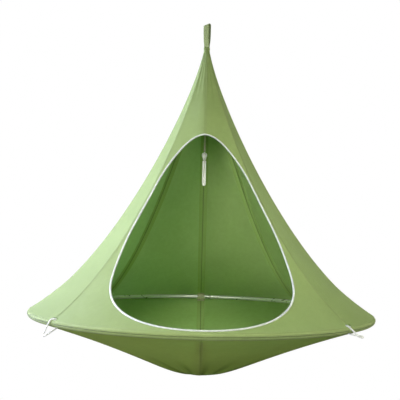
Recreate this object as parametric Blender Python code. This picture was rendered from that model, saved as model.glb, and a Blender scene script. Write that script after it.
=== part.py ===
"""A hanging cone hammock: a sewn cone and bowl of eight gores each, spread by a jointed metal ring.

Heights are above the ring's plane and azimuths turn from the doorway (-Y) towards +X. Everything is
parented to one empty, which puts the inside top of the hanging loop at the origin.
"""

import math

import bmesh
import bpy
import numpy as np
from mathutils import Matrix, Vector

# The sewn skins, in metres and degrees
GORES = 8
GORE_STEPS = 6
FABRIC = 0.0012
GAP = 0.0003
SEAM_GAP = 0.0004

# The cone's profile along a seam, from the ring to the neck
CONE_SLOPE = 32.6
CONE_LOWER_HANDLE = 0.408
CONE_UPPER_HANDLE = 0.259
NECK_SLOPE = 79.0
NECK_HEIGHT = 1.215
NECK_RADIUS = 0.0142
CONE_ROWS = 14
CONE_FLAT_HEIGHT = 0.32

# The bowl's profile along a seam, from the ring to its lowest point
BOWL_SLOPE = 20.0
BOWL_RIM_HANDLE = 0.515
BOWL_FLOOR_HANDLE = 0.166
BOWL_DEPTH = 0.2785
BOWL_ROWS = 10
BOWL_FLAT_HEIGHT = 0.20
BOWL_FLATNESS = 0.75
BOWL_POINT_RADIUS = 0.003

# The ring: four tube sections that plug into each other at the slits
RING_RADIUS = 0.740
TUBE_RADIUS = 0.011
TUBE_WALL = 0.0015
TUBE_SIDES = 12
SPIGOT_REACH = 0.060
SPIGOT_NECK = 0.012
HEM_CLEARANCE = 0.0005
HEM_STEPS = 6
SLIT_HALF_LENGTH = 0.0165

# The snap button of each joint and its leaf spring
BUTTON_RADIUS = 0.0028
BUTTON_PROUD = 0.0015
BUTTON_HEAD_RADIUS = 0.0036
BUTTON_HEAD = 0.0010
BUTTON_PLACE = 0.030
BUTTON_SIDES = 12
LEAF = 0.0005
LEAF_WIDTH = 0.0040
LEAF_LENGTH = 0.017

# The straps and tapes sewn over the seams inside
STRAP_WIDTH = 0.040
STRAP = 0.0012
STRAP_SHARE = 0.93
KEEPER_WIDTH = 0.042
KEEPER = 0.0012

# The doorway, as the middle of its piping is seen from the front
DOOR_TOP = 0.7755
DOOR_HALF_WIDTH = 0.3375
DOOR_WIDEST_HEIGHT = 0.152
DOOR_BOTTOM = 0.0158
DOOR_TOP_HANDLE = 0.140
DOOR_SHOULDER_HANDLE = 0.139
DOOR_HIP_HANDLE = 0.112
DOOR_BOTTOM_HANDLE = 0.175
DOOR_SEAM_MARGIN = 0.0085
PIPING_RADIUS = 0.0043
PIPING_GAP = 0.0013

# The hanging loop of webbing and the neck that is gathered round its tails
WEBBING = 0.0022
TAIL_GAP = 0.0006
TAIL_LENGTH = 0.050
TAIL_HALF_WIDTH = 0.0103
NECK_WRAP = 0.020
LOOP_RISE = 0.114
EYE_HALF_DEPTH = 0.0054
LOOP_HALF_WIDTH = 0.0135
LOOP_SKEW = 0.5
LOOP_TOP_SLANT = 0.45

# The cord inside: one strand to a knot, and a doubled loop below it
CORD_RADIUS = 0.0045
STRAND = 0.439
KNOT_TALL = 0.038
KNOT_RADIUS = 0.0115
CORD_LOOP_DROP = 0.118
CORD_LOOP_RADIUS = 0.0043
CORD_LOOP_GAP = 0.0006

# The tie-down loops at the slits
TIE_RADIUS = 0.003
TIE_HALF_SPREAD = 0.011
TIE_REACH = 0.058
TIE_CLEARANCE = 0.0009
TIE_SWING_ROOM = 0.0020
TIE_DROOP = {"front_right": 20.0, "rear_right": 45.0, "rear_left": 45.0, "front_left": 45.0}

# Worked out from the sizes above
GORE_ANGLE = 360.0 / GORES
STEP = GORE_ANGLE / GORE_STEPS
FLAT = math.cos(math.radians(GORE_ANGLE / 2))
CHORD = 2 * RING_RADIUS * math.sin(math.radians(STEP / 2))
HEM_RADIUS = TUBE_RADIUS + HEM_CLEARANCE + FABRIC
NECK_TOP = NECK_HEIGHT + NECK_WRAP
EYE_HEIGHT = NECK_TOP + LOOP_RISE
TAIL_FOOT = NECK_HEIGHT - TAIL_LENGTH
KNOT_TOP = TAIL_FOOT - STRAND
KNOT_FOOT = KNOT_TOP - KNOT_TALL
CORD_LOOP_FOOT = KNOT_FOOT - CORD_LOOP_DROP
SPIGOT_RADIUS = TUBE_RADIUS - TUBE_WALL - GAP
SPIGOT_BORE = SPIGOT_RADIUS - TUBE_WALL
TIE_WRAP = TUBE_RADIUS + TIE_CLEARANCE + TIE_RADIUS
KINK = SLIT_HALF_LENGTH * math.tan(math.radians(STEP / 2))
SLIT_RADIUS = TIE_WRAP + TIE_RADIUS + GAP + KINK + TIE_SWING_ROOM

SEAMS = ("front", "front_right", "right", "rear_right", "rear", "rear_left", "left", "front_left")
GORE_NAMES = (
    "front_right", "right_front", "right_rear", "rear_right",
    "rear_left", "left_rear", "left_front", "front_left",
)
DOOR_GORES = ("front_right", "front_left")
DOOR_SEAMS = ("front", "front_right", "front_left")
THROUGH_SEAMS = ("front", "rear")
KEEPER_SEAMS = ("right", "rear", "left")

COLOURS = {
    "cone": ((0.30, 0.42, 0.17), 0.75, 0.0),
    "bowl": ((0.20, 0.29, 0.09), 0.75, 0.0),
    "strap": ((0.13, 0.25, 0.06), 0.8, 0.0),
    "piping": ((0.80, 0.84, 0.78), 0.6, 0.0),
    "keeper": ((0.40, 0.38, 0.24), 0.85, 0.0),
    "tube": ((0.62, 0.64, 0.60), 0.35, 1.0),
    "steel": ((0.50, 0.50, 0.52), 0.3, 1.0),
    "cord": ((0.82, 0.82, 0.78), 0.8, 0.0),
}


def clear_scene():
    """Removes what the file opened with."""
    for obj in list(bpy.data.objects):
        bpy.data.objects.remove(obj, do_unlink=True)


def material(name, finish):
    """A Principled BSDF material in one of the named finishes."""
    colour, roughness, metallic = COLOURS[finish]
    made = bpy.data.materials.new(name)
    made.use_nodes = True
    shader = made.node_tree.nodes["Principled BSDF"]
    shader.inputs["Base Color"].default_value = (*colour, 1.0)
    shader.inputs["Roughness"].default_value = roughness
    shader.inputs["Metallic"].default_value = metallic
    made.diffuse_color = (*colour, 1.0)
    return made


def place(obj, finish, parent):
    """Links an object under its parent and gives it its own material."""
    bpy.context.scene.collection.objects.link(obj)
    obj.parent = parent
    obj.data.materials.append(material(obj.name, finish))
    return obj


def solid(name, verts, faces, finish, parent, smooth=True):
    """A closed mesh object from points and faces, with its faces turned outwards."""
    mesh = bpy.data.meshes.new(name)
    shape = bmesh.new()
    points = [shape.verts.new(v) for v in verts]
    for face in faces:
        shape.faces.new([points[i] for i in face])
    bmesh.ops.recalc_face_normals(shape, faces=shape.faces)
    shape.to_mesh(mesh)
    shape.free()
    if smooth:
        mesh.shade_smooth()
        mesh.set_sharp_from_angle(angle=math.radians(35))
    return place(bpy.data.objects.new(name, mesh), finish, parent)


def sheet(name, upper, lower, finish, parent):
    """A closed sheet between two grids of the same rows and columns, split along the same diagonals."""
    rows, columns = len(upper), len(upper[0])
    verts = [p for grid in (upper, lower) for line in grid for p in line]
    under = rows * columns

    def at(row, column, side=0):
        return side * under + row * columns + column

    faces = []
    for r in range(rows - 1):
        for c in range(columns - 1):
            for side in (0, 1):
                faces.append([at(r, c, side), at(r, c + 1, side), at(r + 1, c + 1, side)])
                faces.append([at(r, c, side), at(r + 1, c + 1, side), at(r + 1, c, side)])
    for r in range(rows - 1):
        for c in (0, columns - 1):
            faces.append([at(r, c), at(r + 1, c), at(r + 1, c, 1), at(r, c, 1)])
    for c in range(columns - 1):
        for r in (0, rows - 1):
            faces.append([at(r, c), at(r, c + 1), at(r, c + 1, 1), at(r, c, 1)])
    return solid(name, verts, faces, finish, parent)


def sleeve(name, rings, finish, parent):
    """A closed wall whose rings run up the outside and back down the inside."""
    sides = len(rings[0])
    verts = [p for ring in rings for p in ring]
    faces = []
    for i in range(len(rings)):
        j = (i + 1) % len(rings)
        for k in range(sides):
            n = (k + 1) % sides
            faces.append([i * sides + k, i * sides + n, j * sides + n, j * sides + k])
    return solid(name, verts, faces, finish, parent)


def turned(name, profile, sides, finish, parent):
    """A solid of revolution about Z from (radius, height) points between two points on the axis."""
    low, high = profile[0][1], profile[-1][1]
    verts = [(0, 0, low), (0, 0, high)]
    middle = profile[1:-1]
    for radius, height in middle:
        for k in range(sides):
            turn = 2 * math.pi * k / sides
            verts.append((radius * math.cos(turn), radius * math.sin(turn), height))
    faces = []
    for k in range(sides):
        n = (k + 1) % sides
        faces.append([0, 2 + n, 2 + k])
        for i in range(len(middle) - 1):
            a = 2 + i * sides
            faces.append([a + k, a + n, a + sides + n, a + sides + k])
        last = 2 + (len(middle) - 1) * sides
        faces.append([1, last + k, last + n])
    return solid(name, verts, faces, finish, parent)


def round_cord(name, points, radius, finish, parent, cyclic=False, swell=None):
    """A tube along points, closed or with capped ends; swell scales the radius at each point."""
    data = bpy.data.curves.new(name, "CURVE")
    data.dimensions = "3D"
    data.bevel_depth = radius
    data.bevel_resolution = 2
    data.use_fill_caps = not cyclic
    line = data.splines.new("POLY")
    line.points.add(len(points) - 1)
    line.use_cyclic_u = cyclic
    for i, (spot, point) in enumerate(zip(line.points, points)):
        spot.co = (*point, 1.0)
        spot.radius = swell[i] if swell else 1.0
    return place(bpy.data.objects.new(name, data), finish, parent)


def cutter(name, verts, faces, parent):
    """A closed helper that Booleans cut with."""
    obj = solid(name, verts, faces, "steel", parent, smooth=False)
    obj.hide_render = True
    obj.display_type = "WIRE"
    return obj


def cut(obj, tool, solver="EXACT"):
    """Takes the cutter's volume out of an object."""
    modifier = obj.modifiers.new(tool.name, "BOOLEAN")
    modifier.operation = "DIFFERENCE"
    modifier.solver = solver
    modifier.object = tool


def bezier(controls, t):
    """The point of a cubic curve at t, with its direction of travel."""
    a, b, c, d = (np.array(p) for p in controls)
    u = 1 - t
    point = u**3 * a + 3 * u * u * t * b + 3 * u * t * t * c + t**3 * d
    slope = 3 * u * u * (b - a) + 6 * u * t * (c - b) + 3 * t * t * (d - c)
    return point, slope / np.linalg.norm(slope)


def smooth(x):
    """Eases from 0 to 1."""
    x = min(max(x, 0.0), 1.0)
    return x * x * (3 - 2 * x)


def outward(azimuth):
    """The level direction away from the axis at an azimuth."""
    turn = math.radians(azimuth)
    return Vector((math.sin(turn), -math.cos(turn), 0))


def along_ring(azimuth, distance):
    """The azimuth that lies a distance further round the ring's chords."""
    return azimuth + STEP * distance / CHORD


def on_chord(azimuth, station):
    """A point read on the chord between the two stations about an azimuth."""
    k = math.floor(azimuth / STEP + 1e-9)
    share = azimuth / STEP - k
    first = station(k)
    if share < 1e-6:
        return first
    return first.lerp(station(k + 1), share)


class Skin:
    """Eight gores on one profile: round at the ring, and flatter between the seams away from it."""

    def __init__(self, controls, side, rows, end, flatness, flat_height):
        self.controls = controls
        self.side = side
        self.rows = [end * (i / rows) ** 1.55 for i in range(rows + 1)]
        self.flatness = flatness
        self.flat_height = flat_height

    def seam(self, row, depth):
        """The radius and height of a whole row on the seams, a depth in from the outside."""
        point, travel = bezier(self.controls, self.rows[row])
        normal = self.side * np.array([travel[1], -travel[0]])
        return point - depth * normal

    def corner(self, row, station, depth):
        """The point of a whole row on a whole station."""
        radius, height = self.seam(row, depth)
        flat = self.flatness * smooth(abs(height) / self.flat_height)
        off = math.radians((station * STEP) % GORE_ANGLE - GORE_ANGLE / 2)
        radius *= flat * FLAT / math.cos(off) + 1 - flat
        return outward(station * STEP) * radius + Vector((0, 0, height))

    def point(self, azimuth, row, depth):
        """A point on the faceted skin, read between its rows and stations."""
        low = min(int(row + 1e-9), len(self.rows) - 2)
        first = on_chord(azimuth, lambda k: self.corner(low, k, depth))
        if row - low < 1e-6:
            return first
        return first.lerp(on_chord(azimuth, lambda k: self.corner(low + 1, k, depth)), row - low)

    def spread(self, azimuth, row, distance, most=1.0):
        """The turn that spans a level distance from a seam, up to a share of the first step."""
        width = (self.point(azimuth + STEP, row, 0) - self.point(azimuth, row, 0)).length
        return STEP * min(distance / width, most)


def hem_point(angle):
    """The radius and height on the hem's outside, at an angle up from level about the tube."""
    turn = math.radians(angle)
    return np.array([RING_RADIUS + HEM_RADIUS * math.cos(turn), HEM_RADIUS * math.sin(turn)])


def cone_controls():
    """The cone's seam curve, from where it leaves the hem tangent to the tube up to the neck."""
    start, end = hem_point(90 - CONE_SLOPE), np.array([NECK_RADIUS, NECK_HEIGHT])
    slope, neck = math.radians(CONE_SLOPE), math.radians(NECK_SLOPE)
    lower = start + CONE_LOWER_HANDLE * np.array([-math.cos(slope), math.sin(slope)])
    upper = end + CONE_UPPER_HANDLE * np.array([math.cos(neck), -math.sin(neck)])
    return start, lower, upper, end


def bowl_controls():
    """The bowl's seam curve, from the hem down to a level floor on the axis."""
    start, end = hem_point(BOWL_SLOPE - 90), np.array([0.0, -BOWL_DEPTH])
    slope = math.radians(BOWL_SLOPE)
    rim = start - BOWL_RIM_HANDLE * np.array([math.cos(slope), math.sin(slope)])
    return start, rim, np.array([BOWL_FLOOR_HANDLE, -BOWL_DEPTH]), end


CONE = Skin(cone_controls(), 1, CONE_ROWS, 1.0, 1.0, CONE_FLAT_HEIGHT)
BOWL = Skin(
    bowl_controls(), -1, BOWL_ROWS, 1 - BOWL_POINT_RADIUS / (3 * BOWL_FLOOR_HANDLE),
    BOWL_FLATNESS, BOWL_FLAT_HEIGHT,
)


def gore(name, skin, index, finish, pod):
    """One panel of a skin between two seams, with a column along the edge of each seam's strap."""
    start = index * GORE_ANGLE
    end = start + GORE_ANGLE
    grids = ([], [])
    for row in range(len(skin.rows)):
        edge = skin.spread(start, row, SEAM_GAP / 2, STRAP_SHARE / 2)
        strap = skin.spread(start, row, STRAP_WIDTH / 2, STRAP_SHARE)
        places = [start + edge, start + strap]
        places += [start + STEP * k for k in range(1, GORE_STEPS)]
        places += [end - strap, end - edge]
        for grid, depth in zip(grids, (0, FABRIC)):
            grid.append([skin.point(a, row, depth) for a in places])
    return sheet(name, *grids, finish, pod)


def strap_rows(skin, azimuth, rows, depths):
    """A seam strap's two grids of points, on the same columns as the gores that it covers."""
    grids = []
    for depth in depths:
        grid = []
        for row in rows:
            strap = skin.spread(azimuth, row, STRAP_WIDTH / 2, STRAP_SHARE)
            places = (azimuth - strap, azimuth, azimuth + strap)
            grid.append([skin.point(a, row, depth) for a in places])
        grids.append(grid)
    return grids


def seam_strap(name, skin, index, rows, pod):
    """A strap that lies over a seam inside, and narrows where the gores do."""
    azimuth = index * GORE_ANGLE + 360
    depths = (FABRIC + GAP, FABRIC + GAP + STRAP)
    return sheet(name, *strap_rows(skin, azimuth, rows, depths), "strap", pod)


def through_strap(name, pod):
    """The bowl's front and rear seam strap, which runs on through the point where the gores meet."""
    rows = range(1, BOWL_ROWS)
    depths = (FABRIC + GAP, FABRIC + GAP + STRAP)
    front = strap_rows(BOWL, 360, rows, depths)
    rear = strap_rows(BOWL, 540, rows, depths)
    grids = []
    for near, far, depth in zip(front, rear, depths):
        reach, last = BOWL.seam(BOWL_ROWS - 1, depth)
        half = (near[-1][2] - near[-1][1]).length
        floor = BOWL.seam(BOWL_ROWS, depth)[1]
        height = floor + (last - floor) * half / reach + GAP
        middle = [Vector((side * half, 0, height)) for side in (-1, 0, 1)]
        grids.append([*near, middle, *[line[::-1] for line in reversed(far)]])
    return sheet(name, *grids, "strap", pod)


def tube_ring(azimuth, radius, angles):
    """A ring of points about the tube's middle, at angles up from the outward direction."""

    def at(angle):
        turn = math.radians(angle)

        def station(k):
            reach = outward(k * STEP) * (RING_RADIUS + radius * math.cos(turn))
            return reach + Vector((0, 0, radius * math.sin(turn)))

        return on_chord(azimuth, station)

    return [at(angle) for angle in angles]


def hem_band(name, joint, pod):
    """The fabric round the tube's outer half, from one slit to the next."""
    turn = math.degrees(SEAM_GAP / HEM_RADIUS)
    low, high = BOWL_SLOPE - 90 + turn, 90 - CONE_SLOPE - turn
    angles = [low + (high - low) * i / HEM_STEPS for i in range(HEM_STEPS + 1)]
    first, last = along_ring(joint, SLIT_HALF_LENGTH), along_ring(joint + 90, -SLIT_HALF_LENGTH)
    places = [first, *np.arange(joint + STEP, joint + 90, STEP), last]
    grids = []
    for radius in (HEM_RADIUS, HEM_RADIUS - FABRIC):
        grids.append([tube_ring(a, radius, angles) for a in places])
    return sheet(name, *grids, "cone", pod)


def ring_section(name, joint, pod):
    """A quarter of the ring: a tube with a drawn-in spigot at its far end."""
    angles = [360 / TUBE_SIDES * (k + 0.5) for k in range(TUBE_SIDES)]
    end = joint + 90
    start = along_ring(joint, GAP)
    stations = [start, *np.arange(joint + STEP, end, STEP), end]
    neck, tip = along_ring(end, -SPIGOT_NECK), along_ring(end, SPIGOT_REACH)
    route = [(a, TUBE_RADIUS) for a in stations]
    route += [(end, SPIGOT_RADIUS), (tip, SPIGOT_RADIUS), (tip, SPIGOT_BORE), (end, SPIGOT_BORE)]
    route += [(neck, SPIGOT_BORE), (neck, TUBE_RADIUS - TUBE_WALL)]
    route += [(a, TUBE_RADIUS - TUBE_WALL) for a in reversed(stations[:-1])]
    return sleeve(name, [tube_ring(a, radius, angles) for a, radius in route], "tube", pod)


def cylinder_cutter(name, radius, low, high, frame, pod):
    """A cylinder along the frame's Y axis, as a cutter."""
    sides = 24
    verts = []
    for y in (low, high):
        for k in range(sides):
            turn = 2 * math.pi * (k + 0.5) / sides
            verts.append(frame @ Vector((radius * math.cos(turn), y, radius * math.sin(turn))))
    faces = [[k, (k + 1) % sides, sides + (k + 1) % sides, sides + k] for k in range(sides)]
    faces += [list(range(sides)), list(range(sides, 2 * sides))]
    return cutter(name, verts, faces, pod)


def tangent_frame(azimuth):
    """A frame on the tube's middle: X outwards, Y along the ring, Z up."""
    away = outward(azimuth)
    forward = Vector((-away.y, away.x, 0))
    frame = Matrix((away, forward, Vector((0, 0, 1)))).transposed().to_4x4()
    frame.translation = away * RING_RADIUS
    return frame


def chord_frame(joint, distance):
    """A frame in the tube a distance past a joint: X outwards, Y along the chord, Z up."""
    azimuth = joint + STEP / 2
    frame = tangent_frame(azimuth)
    start = outward(joint) * RING_RADIUS
    frame.translation = start + frame.col[1].to_3d() * distance
    return frame


def snap_button(seam, joint, section, spigot, pod):
    """The button that locks a joint from inside the spigot, the holes for it and its leaf spring."""
    frame = chord_frame(joint, BUTTON_PLACE)
    facet = math.radians(180 / TUBE_SIDES)
    flat = SPIGOT_BORE * math.cos(facet)
    drop = (BUTTON_HEAD_RADIUS - SPIGOT_BORE * math.sin(facet)) * math.tan(2 * facet)
    head_top = flat - max(drop, 0) - GAP
    head_low = head_top - BUTTON_HEAD
    top = TUBE_RADIUS * math.cos(facet) + BUTTON_PROUD
    profile = [
        (0, head_low), (BUTTON_HEAD_RADIUS, head_low), (BUTTON_HEAD_RADIUS, head_top),
        (BUTTON_RADIUS, head_top), (BUTTON_RADIUS, top - BUTTON_RADIUS / 4),
        (0.75 * BUTTON_RADIUS, top), (0, top),
    ]
    button = turned(f"snap_button_{seam}", profile, BUTTON_SIDES, "steel", pod)
    button.matrix_local = frame

    upright = frame @ Matrix.Rotation(math.pi / 2, 4, "X")
    hole = cylinder_cutter(
        f"cut_hole_{seam}", BUTTON_RADIUS + GAP, head_low, top + TUBE_WALL, upright, pod
    )
    cut(section, hole)
    cut(spigot, hole)

    high, low = head_low - GAP - LEAF / 2, -(flat - GAP - LEAF / 2)
    bend = 0.0014
    line = [
        (-BUTTON_HEAD_RADIUS, high), (BUTTON_RADIUS, high), (LEAF_LENGTH - bend, low + 1.6 * bend),
        (LEAF_LENGTH, low + bend * 0.8), (LEAF_LENGTH - bend, low), (-BUTTON_HEAD_RADIUS, low),
    ]
    line = [np.array(p) for p in line]
    upper, lower = [], []
    for i, spot in enumerate(line):
        before, after = line[max(i - 1, 0)], line[min(i + 1, len(line) - 1)]
        travel = (after - before) / np.linalg.norm(after - before)
        side = np.array([-travel[1], travel[0]]) * LEAF / 2
        for grid, centre in ((upper, spot + side), (lower, spot - side)):
            grid.append([(x, centre[0], centre[1]) for x in (-LEAF_WIDTH / 2, LEAF_WIDTH / 2)])
    spring = sheet(f"leaf_spring_{seam}", upper, lower, "steel", pod)
    spring.matrix_local = frame


def smooth_route(points, pieces):
    """Points read from a smooth curve through the route's own points."""
    spots = [Vector(p) for p in points]
    ends = [2 * spots[0] - spots[1], *spots, 2 * spots[-1] - spots[-2]]
    found = []
    for i in range(1, len(ends) - 2):
        a, b, c, d = ends[i - 1: i + 3]
        for k in range(pieces):
            t = k / pieces
            found.append(0.5 * (
                2 * b + (c - a) * t + (2 * a - 5 * b + 4 * c - d) * t * t
                + (3 * b - a - 3 * c + d) * t * t * t
            ))
    return [*found, spots[-1]]


def tie_route():
    """A tie loop that points straight out, as (outwards, along the ring, up) about the tube's middle."""
    route = []
    for angle, share in ((178, -0.03), (140, -0.4), (104, -0.85), (68, -1.0)):
        turn = math.radians(angle)
        route.append((TIE_WRAP * math.cos(turn), share * TIE_HALF_SPREAD, TIE_WRAP * math.sin(turn)))
    for reach, rise in ((0.45, 0.55), (0.70, 0.22)):
        route.append((TIE_REACH * reach, -TIE_HALF_SPREAD, TIE_WRAP * rise))
    straight = TIE_REACH - TIE_HALF_SPREAD
    for angle in (-80, -40):
        turn = math.radians(angle)
        route.append((
            straight + TIE_HALF_SPREAD * math.cos(turn), TIE_HALF_SPREAD * math.sin(turn),
            TIE_WRAP * 0.05 * -angle / 80,
        ))
    tip = (TIE_REACH, 0.0, 0.0)
    back = [(x, -y, -z) for x, y, z in reversed(route)]
    return [*route, tip, *back]


def tie_loop(seam, azimuth, pod):
    """A loop of cord that goes round the tube in the slit; its origin is on the tube's middle."""
    points = smooth_route(tie_route(), 2)
    loop = round_cord(f"tie_loop_{seam}", points, TIE_RADIUS, "cord", pod)
    loop.matrix_local = tangent_frame(azimuth) @ Matrix.Rotation(
        math.radians(TIE_DROOP[seam]), 4, "Y"
    )


def ring_keeper(seam, pod):
    """A webbing keeper, from the cone round the tube's inner side to the bowl."""
    middle = SEAMS.index(seam) * GORE_ANGLE
    edge = along_ring(middle, KEEPER_WIDTH / 2) - middle
    grids = []
    for extra in (0, KEEPER):
        depth = FABRIC + 2 * GAP + extra
        radius = TUBE_RADIUS + 2 * GAP + extra
        rows = [[CONE.point(a, row, depth) for a in keeper_places(CONE, middle)] for row in (0.85, 0.6)]
        for angle in (148, 165, 180, 195, 212):
            places = (middle - edge, middle, middle + edge)
            rows.append([tube_ring(a, radius, [angle])[0] for a in places])
        for row in (0.4, 0.6):
            rows.append([BOWL.point(a, row, depth) for a in keeper_places(BOWL, middle)])
        grids.append(rows)
    return sheet(f"ring_keeper_{seam}", *grids, "keeper", pod)


def keeper_places(skin, middle):
    """The azimuths of a keeper's two edges and middle, on a skin near the ring."""
    edge = skin.spread(middle, 0, KEEPER_WIDTH / 2)
    return (middle - edge, middle, middle + edge)


def on_cone(x, height):
    """The azimuth and row of the cone's front right gore that show at x and a height."""
    heights = [CONE.corner(row, 0, FABRIC / 2).z for row in range(len(CONE.rows))]
    row = float(np.interp(height, heights, range(len(heights))))
    low, high = 0.0, GORE_ANGLE
    for _ in range(40):
        half = (low + high) / 2
        if CONE.point(half, row, FABRIC / 2).x < x:
            low = half
        else:
            high = half
    return (low + high) / 2, row


def doorway():
    """The piping's middle line and the fabric's cut edge, over the right half from top to bottom."""
    upper = (
        (0, DOOR_TOP), (DOOR_TOP_HANDLE, DOOR_TOP),
        (DOOR_HALF_WIDTH, DOOR_WIDEST_HEIGHT + DOOR_SHOULDER_HANDLE),
        (DOOR_HALF_WIDTH, DOOR_WIDEST_HEIGHT),
    )
    lower = (
        (DOOR_HALF_WIDTH, DOOR_WIDEST_HEIGHT),
        (DOOR_HALF_WIDTH, DOOR_WIDEST_HEIGHT - DOOR_HIP_HANDLE),
        (DOOR_BOTTOM_HANDLE, DOOR_BOTTOM), (0, DOOR_BOTTOM),
    )
    seen = [bezier(upper, k / 20)[0] for k in range(20)]
    seen += [bezier(lower, k / 16)[0] for k in range(17)]
    middle = []
    for x, height in seen:
        row = on_cone(0, height)[1]
        most = CONE.point(GORE_ANGLE, row, FABRIC / 2).x - DOOR_SEAM_MARGIN * FLAT
        middle.append((min(x, most), height))
    line, edge = [], []
    for i, (x, height) in enumerate(middle):
        azimuth, row = on_cone(x, height)
        spot = CONE.point(azimuth, row, FABRIC / 2)
        line.append(spot)
        spots = []
        for other in (middle[max(i - 1, 0)], middle[min(i + 1, len(middle) - 1)]):
            spots.append(CONE.point(*on_cone(*other), FABRIC / 2))
        travel = spots[1] - spots[0]
        if i in (0, len(middle) - 1):
            travel = Vector((1 if i == 0 else -1, 0, 0))
        inner = min(max(azimuth, 0.5), GORE_ANGLE - 0.5)
        level = CONE.point(inner + 0.4, row, 0) - CONE.point(inner - 0.4, row, 0)
        rise = CONE.point(inner, row + 0.05, 0) - CONE.point(inner, row, 0)
        side = travel.cross(level.cross(rise)).normalized()
        if side.dot(spot - Vector((0, spot.y, DOOR_WIDEST_HEIGHT))) < 0:
            side.negate()
        edge.append(spot + side * (PIPING_RADIUS + PIPING_GAP))
    return line, edge


def both_sides(half):
    """A closed outline from its right half."""
    return [*half, *[Vector((-p.x, p.y, p.z)) for p in reversed(half[1:-1])]]


def door_cutter(edge, pod):
    """The doorway's outline pushed through the front of the cone."""
    outline = both_sides(edge)
    outline[0].x = 0
    outline[len(edge) - 1].x = 0
    count = len(outline)
    verts = [(p.x, y, p.z) for y in (-RING_RADIUS * 1.2, -0.03) for p in outline]
    faces = [[k, (k + 1) % count, count + (k + 1) % count, count + k] for k in range(count)]
    faces += [list(range(count)), list(range(count, 2 * count))]
    return cutter("cut_doorway", verts, faces, pod)


def hanging_loop(pod):
    """Webbing folded to an eye, its skewed plies running down together as two tails in the neck."""
    tail = (WEBBING + TAIL_GAP) / 2
    middle = EYE_HALF_DEPTH + WEBBING / 2
    top = EYE_HEIGHT + WEBBING / 2
    front = [(tail, TAIL_FOOT), (tail, NECK_TOP), (tail * 1.4, NECK_TOP + 0.07 * LOOP_RISE)]
    front += [(middle * 0.72, NECK_TOP + 0.26 * LOOP_RISE), (middle, NECK_TOP + 0.57 * LOOP_RISE)]
    for angle in range(0, 90, 18):
        turn = math.radians(angle)
        front.append((middle * math.cos(turn), top - middle + middle * math.sin(turn)))
    line = [np.array(p) for p in front] + [np.array((0.0, top))]
    line += [np.array((-y, z)) for y, z in reversed(front)]
    upper, lower = [], []
    for i, spot in enumerate(line):
        before, after = line[max(i - 1, 0)], line[min(i + 1, len(line) - 1)]
        travel = (after - before) / np.linalg.norm(after - before)
        side = np.array([travel[1], -travel[0]]) * WEBBING / 2
        share = smooth((spot[1] - NECK_TOP) / (EYE_HEIGHT - NECK_TOP))
        half = TAIL_HALF_WIDTH + share * (LOOP_HALF_WIDTH - TAIL_HALF_WIDTH)
        for grid, centre in ((upper, spot + side), (lower, spot - side)):
            points = []
            for x in (-half, 0, half):
                lift = LOOP_TOP_SLANT * x * smooth((spot[1] - NECK_TOP) / (top - NECK_TOP)) ** 3
                points.append((x + LOOP_SKEW * share * centre[0], centre[0], centre[1] + lift))
            grid.append(points)
    return sheet("hanging_loop", upper, lower, "cone", pod)


def neck_wrap(pod):
    """The gathered neck, from the octagon of the gores to a flat sleeve round the webbing's tails."""
    wide, deep = TAIL_HALF_WIDTH + GAP, WEBBING + TAIL_GAP / 2 + GAP
    levels = 4
    rings = []
    for inset in (0, FABRIC):
        wall = []
        for i in range(levels + 1):
            share = smooth(i / levels)
            ring = []
            for k in range(2 * GORES):
                azimuth = k * GORE_ANGLE / 2
                radius = (NECK_RADIUS - inset) * (FLAT if k % 2 else 1)
                low = outward(azimuth) * radius
                away = outward(azimuth)
                reach = away / max(abs(away.x), abs(away.y))
                size = (wide + FABRIC - inset, deep + FABRIC - inset)
                high = Vector((reach.x * size[0], reach.y * size[1], 0))
                spot = low.lerp(high, share)
                spot.z = NECK_HEIGHT + 2 * GAP + (NECK_TOP - NECK_HEIGHT - 2 * GAP) * i / levels
                ring.append(spot)
            wall.append(ring)
        rings += wall if inset == 0 else wall[::-1]
    return sleeve("neck_wrap", rings, "cone", pod)


def inner_cord(pod):
    """The strand that hangs from the tails; both ends are round, about the points that it swings on."""
    top = TAIL_FOOT - GAP - CORD_RADIUS
    foot = KNOT_TOP + GAP + CORD_RADIUS
    caps = (20, 45, 70)
    points, swell = [], []
    for angle in caps:
        turn = math.radians(angle)
        points.append((0, 0, CORD_RADIUS * math.cos(turn)))
        swell.append(math.sin(turn))
    runs = 24
    for i in range(runs + 1):
        points.append((0, 0, (foot - top) * i / runs))
        swell.append(1.0)
    for angle in reversed(caps):
        turn = math.radians(angle)
        points.append((0, 0, foot - top - CORD_RADIUS * math.cos(turn)))
        swell.append(math.sin(turn))
    cord = round_cord("inner_cord", points, CORD_RADIUS, "cord", pod, swell=swell)
    cord.location = (0, 0, top)
    return cord


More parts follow.
